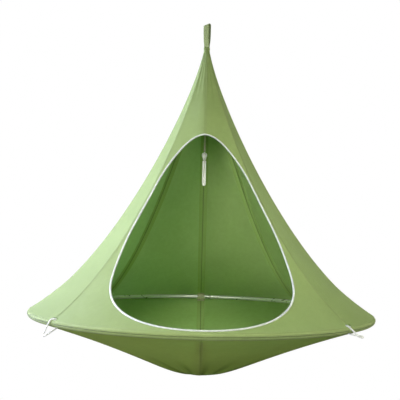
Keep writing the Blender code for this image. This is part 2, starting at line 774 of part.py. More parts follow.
def cord_knot_and_loop(cord):
    """The knot under the strand and the doubled loop below it, about the strand's lower end."""
    pivot = bpy.data.objects.new("cord_loop_pivot", None)
    bpy.context.scene.collection.objects.link(pivot)
    pivot.parent = cord
    swing = KNOT_TOP + GAP + CORD_RADIUS
    top = TAIL_FOOT - GAP - CORD_RADIUS
    pivot.location = (0, 0, swing - top)
    high, low = KNOT_TOP - swing, KNOT_FOOT - swing
    tall = high - low
    profile = [(0, low)]
    for share, width in ((0, 0.72), (0.12, 0.86), (0.30, 0.80), (0.52, 0.92), (0.74, 1.0),
                         (0.90, 0.82), (1.0, 0.50)):
        profile.append((KNOT_RADIUS * width, low + tall * share))
    profile.append((0, high))
    turned("cord_knot", profile, 12, "cord", pivot)

    half = CORD_LOOP_RADIUS + CORD_LOOP_GAP / 2
    start = KNOT_FOOT - GAP - swing
    bend = CORD_LOOP_FOOT + CORD_LOOP_RADIUS + half - swing
    points = [(-half, 0, start + (bend - start) * i / 6) for i in range(7)]
    for angle in range(30, 180, 30):
        turn = math.radians(angle)
        points.append((-half * math.cos(turn), 0, bend - half * math.sin(turn)))
    points += [(half, 0, bend + (start - bend) * i / 6) for i in range(7)]
    round_cord("cord_loop", points, CORD_LOOP_RADIUS, "cord", pivot)


def build():
    """Makes every piece of the hammock."""
    clear_scene()
    pod = bpy.data.objects.new("pod", None)
    bpy.context.scene.collection.objects.link(pod)
    pod.location = (0, 0, -EYE_HEIGHT)

    joints = [i for i in range(GORES) if i % 2]
    slits = {}
    for i in joints:
        frame = tangent_frame(i * GORE_ANGLE)
        slits[i] = cylinder_cutter(
            f"cut_slit_{SEAMS[i]}", SLIT_RADIUS, -SLIT_HALF_LENGTH, SLIT_HALF_LENGTH, frame, pod
        )
    line, edge = doorway()
    opening = door_cutter(edge, pod)

    for i, side in enumerate(GORE_NAMES):
        slit = slits[i if i % 2 else (i + 1) % GORES]
        panel = gore(f"cone_gore_{side}", CONE, i, "cone", pod)
        cut(panel, slit)
        if side in DOOR_GORES:
            cut(panel, opening)
        cut(gore(f"bowl_gore_{side}", BOWL, i, "bowl", pod), slit)
    for i, seam in enumerate(SEAMS):
        rows = range(1, CONE_ROWS)
        if seam == "front":
            rows = [r for r in rows if CONE.seam(min(r + 1, CONE_ROWS), 0)[1] > DOOR_TOP]
        strap = seam_strap(f"cone_strap_{seam}", CONE, i, rows, pod)
        if seam in DOOR_SEAMS:
            cut(strap, opening)
        if seam not in THROUGH_SEAMS:
            seam_strap(f"bowl_strap_{seam}", BOWL, i, range(1, BOWL_ROWS), pod)
    through_strap("bowl_strap_front_to_rear", pod)
    round_cord("door_piping", both_sides(line), PIPING_RADIUS, "piping", pod, cyclic=True)

    sections = {}
    for i in joints:
        sections[i] = ring_section(f"ring_section_{SEAMS[(i + 1) % GORES]}", i * GORE_ANGLE, pod)
        hem_band(f"hem_band_{SEAMS[(i + 1) % GORES]}", i * GORE_ANGLE, pod)
    for i in joints:
        snap_button(SEAMS[i], i * GORE_ANGLE, sections[i], sections[(i - 2) % GORES], pod)
        tie_loop(SEAMS[i], i * GORE_ANGLE, pod)
    for seam in KEEPER_SEAMS:
        ring_keeper(seam, pod)
    hanging_loop(pod)
    neck_wrap(pod)
    cord_knot_and_loop(inner_cord(pod))


build()
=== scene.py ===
"""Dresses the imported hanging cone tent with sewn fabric, webbing, cord and metal.

Heights are measured from the ring's plane, and azimuths turn from the doorway (-Y) towards +X, as
in the tent's own drawing. One offset takes them to the frame, whose origin is the inside top of the
loop. Lengths are in metres and azimuths in degrees throughout.
"""

from __future__ import annotations

import logging
import math
from dataclasses import dataclass, field
from enum import Enum
from typing import Callable, Iterable, Sequence

import bmesh
import bpy
import numpy as np
from mathutils import Matrix, Vector, noise


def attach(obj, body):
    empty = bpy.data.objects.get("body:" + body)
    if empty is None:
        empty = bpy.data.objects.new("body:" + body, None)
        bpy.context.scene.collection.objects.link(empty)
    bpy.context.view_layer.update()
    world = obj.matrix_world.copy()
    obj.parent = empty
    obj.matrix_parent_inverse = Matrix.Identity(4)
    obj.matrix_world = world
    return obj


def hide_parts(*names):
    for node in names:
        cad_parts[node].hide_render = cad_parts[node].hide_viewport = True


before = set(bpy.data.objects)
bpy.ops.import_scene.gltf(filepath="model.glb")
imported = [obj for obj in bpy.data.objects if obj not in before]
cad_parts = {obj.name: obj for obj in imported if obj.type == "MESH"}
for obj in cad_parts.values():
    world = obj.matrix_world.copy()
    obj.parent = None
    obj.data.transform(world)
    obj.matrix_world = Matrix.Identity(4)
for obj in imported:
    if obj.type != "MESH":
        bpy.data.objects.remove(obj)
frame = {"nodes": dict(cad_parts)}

log = logging.getLogger("hanging_tent")

Obj = bpy.types.Object
Socket = bpy.types.NodeSocket
Material = bpy.types.Material
Colour = tuple[float, float, float]
Line = list[Vector]
Grid = list[Line]

EYE_HEIGHT = 1.349
GORES = 8
GORE_ANGLE = 360.0 / GORES
HALF_GORE = GORE_ANGLE / 2
SEAMS = ("front", "front_right", "right", "rear_right", "rear", "rear_left", "left", "front_left")
SIDES = (
    "front_right", "right_front", "right_rear", "rear_right",
    "rear_left", "left_rear", "left_front", "front_left",
)
JOINTS = ("front_right", "rear_right", "rear_left", "front_left")
QUARTERS = ("right", "rear", "left", "front")
FABRIC = 0.0012
CONE_SLOPE = 32.6
BOWL_SLOPE = 20.0
FLOOR_DEPTH = -0.2785
NECK_RADIUS = 0.0142
NECK_HEIGHT = 1.215
NECK_SLOPE = 79.0
FLOOR_HANDLE = 0.166
SLOPE_STEP = 0.004
STITCH_OFF = 0.0042
UP = Vector((0, 0, 1))


class Finish(Enum):
    """The record's material slots."""

    OUTER = "outer_fabric"
    BOWL = "bowl_fabric"
    STRAP = "seam_strap"
    LOOP = "loop_webbing"
    PIPING = "piping"
    WEBBING = "webbing"
    TUBE = "ring_tube"
    CORD = "cord"


@dataclass(frozen=True)
class Ring:
    """The metal ring, the hem that wraps it, and the spigots and buttons that join its tubes."""

    radius: float = 0.740
    tube: float = 0.011
    wall: float = 0.0015
    hem: float = 0.0115 + FABRIC
    slit_half: float = 0.0165
    chord: float = 7.5
    gap: float = 0.0003
    spigot: float = 0.0092
    spigot_bore: float = 0.0077
    spigot_reach: float = 0.060
    spigot_neck: float = 0.012
    button_place: float = 0.030
    button_hole: float = 0.0031
    hole_heights: tuple[float, float] = (0.0040, 0.0140)

    def turn(self, distance: float) -> float:
        """The angle that a distance along the ring takes up."""
        return math.degrees(distance / self.radius)


@dataclass(frozen=True)
class Door:
    """The doorway's outline as the front shows it, over its right half."""

    top: float = 0.7755
    half_width: float = 0.3375
    widest: float = 0.152
    bottom: float = 0.0158
    top_handle: float = 0.140
    shoulder_handle: float = 0.139
    hip_handle: float = 0.112
    bottom_handle: float = 0.175
    seam_margin: float = 0.0085
    seam_blend: float = 0.0032
    piping: float = 0.0043


RING = Ring()
DOOR = Door()


def smooth(x: float) -> float:
    """Eases from 0 to 1, and holds what lies outside at the ends."""
    x = min(max(x, 0.0), 1.0)
    return x * x * (3 - 2 * x)


def even(start: float, end: float, count: int) -> list[float]:
    """Evenly spaced numbers.

    Args:
        start: The first.
        end: The last.
        count: How many spaces lie between them.

    Returns:
        The numbers, one more than the spaces.
    """
    return [start + (end - start) * k / count for k in range(count + 1)]


def outward(azimuth: float) -> Vector:
    """The level direction away from the axis at an azimuth."""
    turn = math.radians(azimuth)
    return Vector((math.sin(turn), -math.cos(turn), 0.0))


def sideways(away: Vector) -> Vector:
    """The level direction along the ring, from the one away from the axis."""
    return Vector((-away.y, away.x, 0))


def raised(height: float) -> float:
    """Turns a height above the ring into the frame's z."""
    return height - EYE_HEIGHT


def seam_azimuth(name: str) -> float:
    """The azimuth of a named seam."""
    return SEAMS.index(name) * GORE_ANGLE


def from_front(azimuth: float) -> float:
    """How many degrees an azimuth is from the doorway's middle, either way."""
    return abs((azimuth + 180) % 360 - 180)


def ring_point(azimuth: float, radius: float, angle: float) -> Vector:
    """A point about the tube's middle.

    Args:
        azimuth: Where it lies on the ring.
        radius: How far it is from the tube's middle.
        angle: Degrees up from the outward direction.

    Returns:
        The point in the frame.
    """
    turn = math.radians(angle)
    spot = outward(azimuth) * (RING.radius + radius * math.cos(turn))
    spot.z = raised(radius * math.sin(turn))
    return spot


def circle(centre: Vector, across: Vector, along: Vector, radius: float, count: int) -> Line:
    """Points round a circle, from half a space past its first direction.

    Args:
        centre: Its middle.
        across: The direction of its start.
        along: The direction a quarter further on.
        radius: Its radius.
        count: How many points it has.

    Returns:
        The points.
    """
    turns = [2 * math.pi * (k + 0.5) / count for k in range(count)]
    return [centre + (across * math.cos(t) + along * math.sin(t)) * radius for t in turns]


def bezier(controls: Sequence[np.ndarray], t: float) -> np.ndarray:
    """The point of a cubic curve at a share of it, from its four control points."""
    a, b, c, d = controls
    u = 1 - t
    return u**3 * a + 3 * u * u * t * b + 3 * u * t * t * c + t**3 * d


@dataclass
class Skin:
    """A sewn skin of eight gores whose seams all follow one profile.

    Attributes:
        controls: The profile's Bezier points, as radius and height.
        side: 1 where the outside faces up, -1 where it faces down.
        end: The last share of the curve that is used.
        flatness: How straight the gores run between the seams, from 0 to 1.
        flat_height: The height by which they have reached that.
        life: Gives the cloth's small rise and fall, from azimuth, distance and width.
    """

    controls: tuple[np.ndarray, ...]
    side: int
    end: float
    flatness: float
    flat_height: float
    life: Callable[[float, float, float], float]
    _table: np.ndarray = field(init=False, repr=False)

    SAMPLES = 801
    RIDGE_ROUNDING = 9.0

    def __post_init__(self) -> None:
        """Measures the profile once, so that points can be asked for by distance."""
        shares = np.linspace(0.0, self.end, self.SAMPLES)
        points = np.array([bezier(self.controls, t) for t in shares])
        steps = np.linalg.norm(np.diff(points, axis=0), axis=1)
        self._table = np.column_stack([np.concatenate([[0.0], np.cumsum(steps)]), points])

    @property
    def length(self) -> float:
        """The profile's length, from the hem to its end."""
        return float(self._table[-1, 0])

    def seam(self, along: float, depth: float = 0.0) -> np.ndarray:
        """A point of the profile on a seam.

        Args:
            along: Its distance from the hem.
            depth: How far in it is from the outside.

        Returns:
            Its radius and height.
        """
        run, radius, height = self._table.T
        place = min(max(along, 0.0), self.length)
        before, spot, after = (
            np.array([np.interp(p, run, radius), np.interp(p, run, height)])
            for p in (max(place - SLOPE_STEP, 0.0), place, min(place + SLOPE_STEP, self.length))
        )
        travel = (after - before) / np.linalg.norm(after - before)
        return spot - depth * self.side * np.array([travel[1], -travel[0]])

    def along_at(self, height: float) -> float:
        """The distance from the hem at which the seams reach a height."""
        run, _, heights = self._table.T
        order = np.argsort(heights)
        return float(np.interp(height, heights[order], run[order]))

    def shape(self, azimuth: float, height: float) -> float:
        """How far out the cloth lies between the seams.

        Args:
            azimuth: Where it lies round the axis.
            height: Its height above the ring.

        Returns:
            A share of the seams' radius, 1 on a seam.
        """
        flat = self.flatness * smooth(abs(height) / self.flat_height)
        off = math.radians(azimuth % GORE_ANGLE - HALF_GORE)
        front = from_front(azimuth)
        if self.side == 1 and front < HALF_GORE:
            rounding = self.RIDGE_ROUNDING * smooth(1.6 - front / 14)
            off = math.radians(HALF_GORE - math.hypot(front, rounding))
        return flat * math.cos(math.radians(HALF_GORE)) / math.cos(off) + 1 - flat

    def width(self, along: float) -> float:
        """How wide a gore is at a distance from the hem."""
        return 2 * float(self.seam(along)[0]) * math.sin(math.radians(HALF_GORE))

    def point(self, azimuth: float, along: float, depth: float = 0.0) -> Vector:
        """A point of the cloth in the frame.

        Args:
            azimuth: Where it lies round the axis.
            along: Its distance from the hem.
            depth: How far in it is from the outside.

        Returns:
            The point.
        """
        rise = self.life(azimuth, along, self.width(along))
        radius, height = self.seam(along, depth - rise)
        spot = outward(azimuth) * (radius * self.shape(azimuth, float(self.seam(along)[1])))
        spot.z = raised(height)
        return spot

    def turn_for(self, along: float, distance: float, most: float) -> float:
        """The turn that spans a distance across the cloth.

        Args:
            along: How far from the hem it is.
            distance: The distance across.
            most: The largest share of a gore that it may take.

        Returns:
            The turn in degrees.
        """
        return GORE_ANGLE * min(distance / max(self.width(along), 1e-6), most)


def sewn(azimuth: float, along: float, width: float) -> float:
    """The rise and fall of the cloth at a topstitched seam, fading at the hem and at the neck."""
    off = azimuth % GORE_ANGLE
    gap = min(off, GORE_ANGLE - off) / GORE_ANGLE * width
    fade = smooth(width / 0.06) * smooth(along / 0.030)
    if from_front(azimuth) < HALF_GORE:
        fade *= 0.35
    ridge = 0.00045 * math.exp(-((gap - STITCH_OFF) / 0.0024) ** 2)
    groove = -0.0007 * math.exp(-((gap / 0.0009) ** 2))
    return (ridge + groove) * fade


def slack_place(
    azimuth: float, along: float, width: float, scale: tuple[float, float], ease: float,
) -> tuple[float, Vector, float]:
    """Where a point lies in the cloth's unevenness, and how slack the cloth is there.

    Args:
        azimuth: Where it lies round the axis.
        along: Its distance from the hem.
        width: The gore's width there.
        scale: How fast the unevenness changes round the axis and along the seams.
        ease: The width by which a gore is fully slack between its seams.

    Returns:
        The azimuth in radians, the place in the noise, and the slackness from 0 to 1.
    """
    turn = math.radians(azimuth)
    spot = Vector((math.sin(turn) * scale[0], math.cos(turn) * scale[0], along * scale[1]))
    share = abs((azimuth % GORE_ANGLE) / GORE_ANGLE - 0.5) * 2
    return turn, spot, (1 - share * share) * smooth(width / ease)


def cone_life(azimuth: float, along: float, width: float) -> float:
    """The cone's tension: a slight slackness between seams and gathers at the neck."""
    turn, spot, slack = slack_place(azimuth, along, width, (1.6, 1.3), 0.20)
    broad = 0.0030 * noise.noise(spot * 1.7) * slack * smooth((along - 0.014) / 0.08)
    near_neck = smooth((along - 1.10) / 0.22)
    gather = 0.0007 * near_neck * math.sin(turn * 24 + 2.0 * noise.noise(spot * 3))
    return broad + gather * smooth(width / 0.02) + sewn(azimuth, along, width)


def bowl_life(azimuth: float, along: float, width: float) -> float:
    """The bowl's looser cloth, with soft creases that run into its lowest point."""
    turn, spot, slack = slack_place(azimuth, along, width, (1.4, 1.1), 0.15)
    rise = noise.noise(spot * 2.1 + Vector((7, 3, 1)))
    broad = 0.0042 * rise * slack * smooth((along - 0.014) / 0.08)
    deep = smooth((along - 0.30) / 0.25) * (1 - 0.6 * smooth((along - 0.70) / 0.06))
    fan = math.sin(turn * 17 + 1.4 * math.sin(turn * 3))
    fan += 0.5 * math.sin(turn * 39 + 2 * math.sin(turn * 2))
    strength = 0.60 + 0.55 * noise.noise(spot * 2.9 + Vector((4, 4, 9)))
    crease = -0.0052 * deep * slack * max(strength, 0.0) * max(fan, 0.0) ** 1.5
    return broad + crease + sewn(azimuth, along, width)


def hem_point(angle: float) -> np.ndarray:
    """Radius and height on the hem's outside, at degrees up from level about the tube's middle."""
    turn = math.radians(angle)
    return np.array([RING.radius + RING.hem * math.cos(turn), RING.hem * math.sin(turn)])


def cone_profile() -> tuple[np.ndarray, ...]:
    """The cone's seam curve, tangent to the hem and steep at the neck."""
    start, end = hem_point(90 - CONE_SLOPE), np.array([NECK_RADIUS, NECK_HEIGHT])
    slope, neck = math.radians(CONE_SLOPE), math.radians(NECK_SLOPE)
    lower = start + 0.408 * np.array([-math.cos(slope), math.sin(slope)])
    upper = end + 0.259 * np.array([math.cos(neck), -math.sin(neck)])
    return start, lower, upper, end


def bowl_profile() -> tuple[np.ndarray, ...]:
    """The bowl's seam curve, from the hem to a level floor on the axis."""
    start, slope = hem_point(BOWL_SLOPE - 90), math.radians(BOWL_SLOPE)
    rim = start - 0.515 * np.array([math.cos(slope), math.sin(slope)])
    return start, rim, np.array([FLOOR_HANDLE, FLOOR_DEPTH]), np.array([0.0, FLOOR_DEPTH])


CONE = Skin(cone_profile(), 1, 1.0, 1.0, 0.32, cone_life)
BOWL = Skin(bowl_profile(), -1, 1 - 0.003 / (3 * FLOOR_HANDLE), 0.75, 0.20, bowl_life)


def door_outline(inset: float, pieces: int = 60) -> Line:
    """The doorway's closed outline on the cone, an inset outside the piping's middle.

    Args:
        inset: How far it is moved away from the doorway's middle, across the cloth.
        pieces: Points in a half of its right side.

    Returns:
        Points in the frame.
    """
    half = DOOR.half_width
    upper = [np.array(p) for p in (
        (0, DOOR.top), (DOOR.top_handle, DOOR.top),
        (half, DOOR.widest + DOOR.shoulder_handle), (half, DOOR.widest),
    )]
    lower = [np.array(p) for p in (
        (half, DOOR.widest), (half, DOOR.widest - DOOR.hip_handle),
        (DOOR.bottom_handle, DOOR.bottom), (0, DOOR.bottom),
    )]
    seen = [bezier(upper, k / pieces) for k in range(pieces)]
    seen += [bezier(lower, k / pieces) for k in range(pieces + 1)]
    right = []
    for x, height in seen:
        along = CONE.along_at(height)
        reach = float(CONE.seam(along)[0])
        most = reach * math.sin(math.radians(GORE_ANGLE))
        most -= DOOR.seam_margin * math.cos(math.radians(HALF_GORE))
        x = (x + most) / 2 - math.hypot((x - most) / 2, DOOR.seam_blend)
        low, high = 0.0, GORE_ANGLE
        for _ in range(30):
            turn = (low + high) / 2
            if reach * CONE.shape(turn, height) * math.sin(math.radians(turn)) < x:
                low = turn
            else:
                high = turn
        right.append(CONE.point(low, along, FABRIC / 2))
    line = [*right, *[Vector((-p.x, p.y, p.z)) for p in reversed(right[1:-1])]]
    if inset == 0.0:
        return line
    moved = []
    for i, spot in enumerate(line):
        travel = line[(i + 1) % len(line)] - line[i - 1]
        away = outward(math.degrees(math.atan2(spot.x, -spot.y)))
        slope = Vector((-away.x * 0.75, -away.y * 0.75, 0.65))
        across = travel.cross(slope.cross(-sideways(away))).normalized()
        if across.dot(spot - Vector((0, spot.y, raised(DOOR.widest)))) < 0:
            across.negate()
        moved.append(spot + across * inset)
    return moved


@dataclass
class Layers:
    """Rows of points on the two sides of a sheet, and each point's place on its maps.

    Attributes:
        outer: The rows outside.
        inner: The rows inside.
        flat: Where each point lies on the cloth.
        seam: Each point's distance from the nearest seam and along it.
    """

    outer: Grid = field(default_factory=list)
    inner: Grid = field(default_factory=list)
    flat: list = field(default_factory=list)
    seam: list = field(default_factory=list)

    def add(self, outer: Line, inner: Line, flat: list, seam: list) -> None:
        """Adds one row to each."""
        self.outer.append(outer)
        self.inner.append(inner)
        self.flat.append(flat)
        self.seam.append(seam)

    def add_strip(
        self, outer: Line, inner: Line, across: Sequence[float], half: float, run: float,
    ) -> None:
        """Adds one row of a strip, whose seams are its own edges.

        Args:
            outer: The row outside.
            inner: The row inside.
            across: Each point's place across the strip, from -1 to 1.
            half: Half of the strip's width.
            run: How far along the strip the row is.
        """
        flat = [(share * half, run) for share in across]
        self.add(outer, inner, flat, [((1 - abs(share)) * half, run) for share in across])


def solid(name: str, shape: bmesh.types.BMesh) -> Obj:
    """An object with what a closed bmesh holds, which is freed.

    Args:
        name: The object's name.
        shape: The bmesh.

    Returns:
        The object, not yet linked.
    """
    bmesh.ops.recalc_face_normals(shape, faces=shape.faces)
    mesh = bpy.data.meshes.new(name)
    shape.to_mesh(mesh)
    shape.free()
    return bpy.data.objects.new(name, mesh)


class Maker:
    """Makes meshes in the frame, with their edges, maps and materials."""

    def __init__(self, looks: dict[str, Material]) -> None:
        """Keeps the materials that pieces take, by name."""
        self.looks = looks

    def finished(
        self, obj: Obj, slot: Finish, look: str, nodes: Iterable[str] = (), body: str = "shell",
    ) -> Obj:
        """Links a piece, gives it its body and its material, and hides the CAD nodes that it stands
        for.

        Args:
            obj: The piece.
            slot: Not used.
            look: The name of its material.
            nodes: The CAD nodes that it replaces.
            body: The body that it rides on.

        Returns:
            The piece.
        """
        if obj.name not in bpy.context.scene.collection.objects:
            bpy.context.scene.collection.objects.link(obj)
        obj.data.materials.clear()
        obj.data.materials.append(self.looks[look])
        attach(obj, body)
        if nodes:
            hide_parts(*nodes)
        return obj

    @staticmethod
    def sheet(name: str, layers: Layers, cyclic: bool = False) -> Obj:
        """A closed sheet between two grids of points, with maps for its weave, seams and side.

        Args:
            name: The piece's name.
            layers: Its rows of points and their places on the maps.
            cyclic: True where the rows close on themselves.

        Returns:
            The object, not yet linked.
        """
        rows, columns = len(layers.outer), len(layers.outer[0])
        shape = bmesh.new()
        sides = [
            [[shape.verts.new(p) for p in row] for row in grid]
            for grid in (layers.outer, layers.inner)
        ]
        maps = [shape.loops.layers.uv.new(n) for n in ("weave", "seam")]
        lining = shape.loops.layers.uv.new("side")

        def add(*corners: tuple[int, int, int]) -> None:
            face = shape.faces.new([sides[s][r][c % columns] for s, r, c in corners])
            face.smooth = True
            for loop, (s, r, c) in zip(face.loops, corners):
                loop[lining].uv = (float(s), 0.0)
                for layer, values in zip(maps, (layers.flat, layers.seam)):
                    loop[layer].uv = values[r][min(c, len(values[r]) - 1)]

        spans, end, last = columns if cyclic else columns - 1, rows - 1, columns - 1
        for r in range(rows - 1):
            for c in range(spans):
                add((0, r, c), (0, r, c + 1), (0, r + 1, c + 1), (0, r + 1, c))
                add((1, r + 1, c), (1, r + 1, c + 1), (1, r, c + 1), (1, r, c))
        for c in range(spans):
            add((1, 0, c), (1, 0, c + 1), (0, 0, c + 1), (0, 0, c))
            add((0, end, c), (0, end, c + 1), (1, end, c + 1), (1, end, c))
        for r in range(0 if cyclic else rows - 1):
            add((0, r, 0), (0, r + 1, 0), (1, r + 1, 0), (1, r, 0))
            add((1, r, last), (1, r + 1, last), (0, r + 1, last), (0, r, last))
        piece = solid(name, shape)
        piece.data.set_sharp_from_angle(angle=math.radians(40))
        return piece

    @staticmethod
    def tube(
        name: str, route: Line, radius: float | Sequence[float], sides: int = 16,
        closed: bool = False,
    ) -> Obj:
        """A round tube along a route, with a map that runs round it and along it.

        Args:
            name: The piece's name.
            route: The points of its middle line.
            radius: Its radius, or one for each point.
            sides: How many sides it has.
            closed: True where the route closes on itself.

        Returns:
            The object, not yet linked.
        """
        count = len(route)
        sizes = [radius] * count if isinstance(radius, float) else list(radius)
        tangents = []
        for i in range(count):
            before = route[i - 1] if closed or i else route[0]
            after = route[(i + 1) % count] if closed or i < count - 1 else route[-1]
            tangents.append((after - before).normalized())
        side = tangents[0].orthogonal().normalized()
        frames = []
        for tangent in tangents:
            side = (side - tangent * side.dot(tangent)).normalized()
            frames.append((side.copy(), tangent.cross(side)))
        twist = 0.0
        if closed:
            last = frames[-1][0] - tangents[0] * frames[-1][0].dot(tangents[0])
            twist = math.atan2(last.dot(frames[0][1]), last.dot(frames[0][0]))
        shape = bmesh.new()
        layer = shape.loops.layers.uv.new("weave")
        rings, runs, run = [], [], 0.0
        for i, (spot, (a, b)) in enumerate(zip(route, frames)):
            run += (spot - route[i - 1]).length if i else 0.0
            runs.append(run)
            turns = [2 * math.pi * k / sides - twist * i / count for k in range(sides)]
            rings.append([
                shape.verts.new(spot + sizes[i] * (a * math.cos(t) + b * math.sin(t)))
                for t in turns
            ])
        runs.append(run + (route[0] - route[-1]).length)
        for i in range(count if closed else count - 1):
            j, size = (i + 1) % count, 2 * math.pi * sizes[i] / sides
            for k in range(sides):
                n = (k + 1) % sides
                face = shape.faces.new([rings[i][k], rings[i][n], rings[j][n], rings[j][k]])
                face.smooth = True
                corners = ((k, i), (k + 1, i), (k + 1, i + 1), (k, i + 1))
                for loop, (c, r) in zip(face.loops, corners):
                    loop[layer].uv = (c * size, runs[r])
        if not closed:
            shape.faces.new(rings[0][::-1])
            shape.faces.new(rings[-1])
        return solid(name, shape)

    @staticmethod
    def helper(name: str, first: Line, last: Line) -> Obj:
        """A closed helper between two rings of points."""
        shape = bmesh.new()
        a, b = ([shape.verts.new(p) for p in ring] for ring in (first, last))
        for k in range(len(a)):
            n = (k + 1) % len(a)
            shape.faces.new([a[k], a[n], b[n], b[k]])
        shape.faces.new(a[::-1])
        shape.faces.new(b)
        return solid(name, shape)

    @staticmethod
    def merged(piece: Obj, other: Obj) -> None:
        """Takes another closed mesh into a piece, and deletes the other object."""
        shape = bmesh.new()
        shape.from_mesh(piece.data)
        shape.from_mesh(other.data)
        shape.to_mesh(piece.data)
        shape.free()
        bpy.data.objects.remove(other, do_unlink=True)

    @staticmethod
    def applied(obj: Obj) -> None:
        """Makes what a piece's modifiers give its plain mesh."""
        if obj.name not in bpy.context.scene.collection.objects:
            bpy.context.scene.collection.objects.link(obj)
        graph = bpy.context.evaluated_depsgraph_get()
        mesh = bpy.data.meshes.new_from_object(obj.evaluated_get(graph))
        obj.modifiers.clear()
        obj.data = mesh
        mesh.name = obj.name

    def cut(self, obj: Obj, tools: Sequence[Obj]) -> None:
        """Takes closed helpers out of a piece, and deletes them."""
        for tool in tools:
            bpy.context.scene.collection.objects.link(tool)
            step = obj.modifiers.new(tool.name, "BOOLEAN")
            step.operation, step.solver, step.object = "DIFFERENCE", "EXACT", tool
        self.applied(obj)
        for tool in tools:
            bpy.data.objects.remove(tool, do_unlink=True)


class Craft:
    """A kind of work that makes pieces."""

    def __init__(self, maker: Maker) -> None:
        """Keeps what makes and finishes the pieces."""
        self.maker = maker


def thinned(share: float, blend: float) -> float:
    """How far a strap's edge is rounded off: 1 at its edge and 0 a blend in from it.

    Args:
        share: A place across the strap, from -1 to 1.
        blend: The share over which it fades.

    Returns:
        The share of the rounding.
    """
    return 1 - smooth((1 - abs(share)) / blend)


def mirrored(shares: Sequence[float]) -> list[float]:
    """Places across a strap: the given ones, which end at 1, and the same on its other side."""
    return [-s for s in reversed(shares) if s] + list(shares)


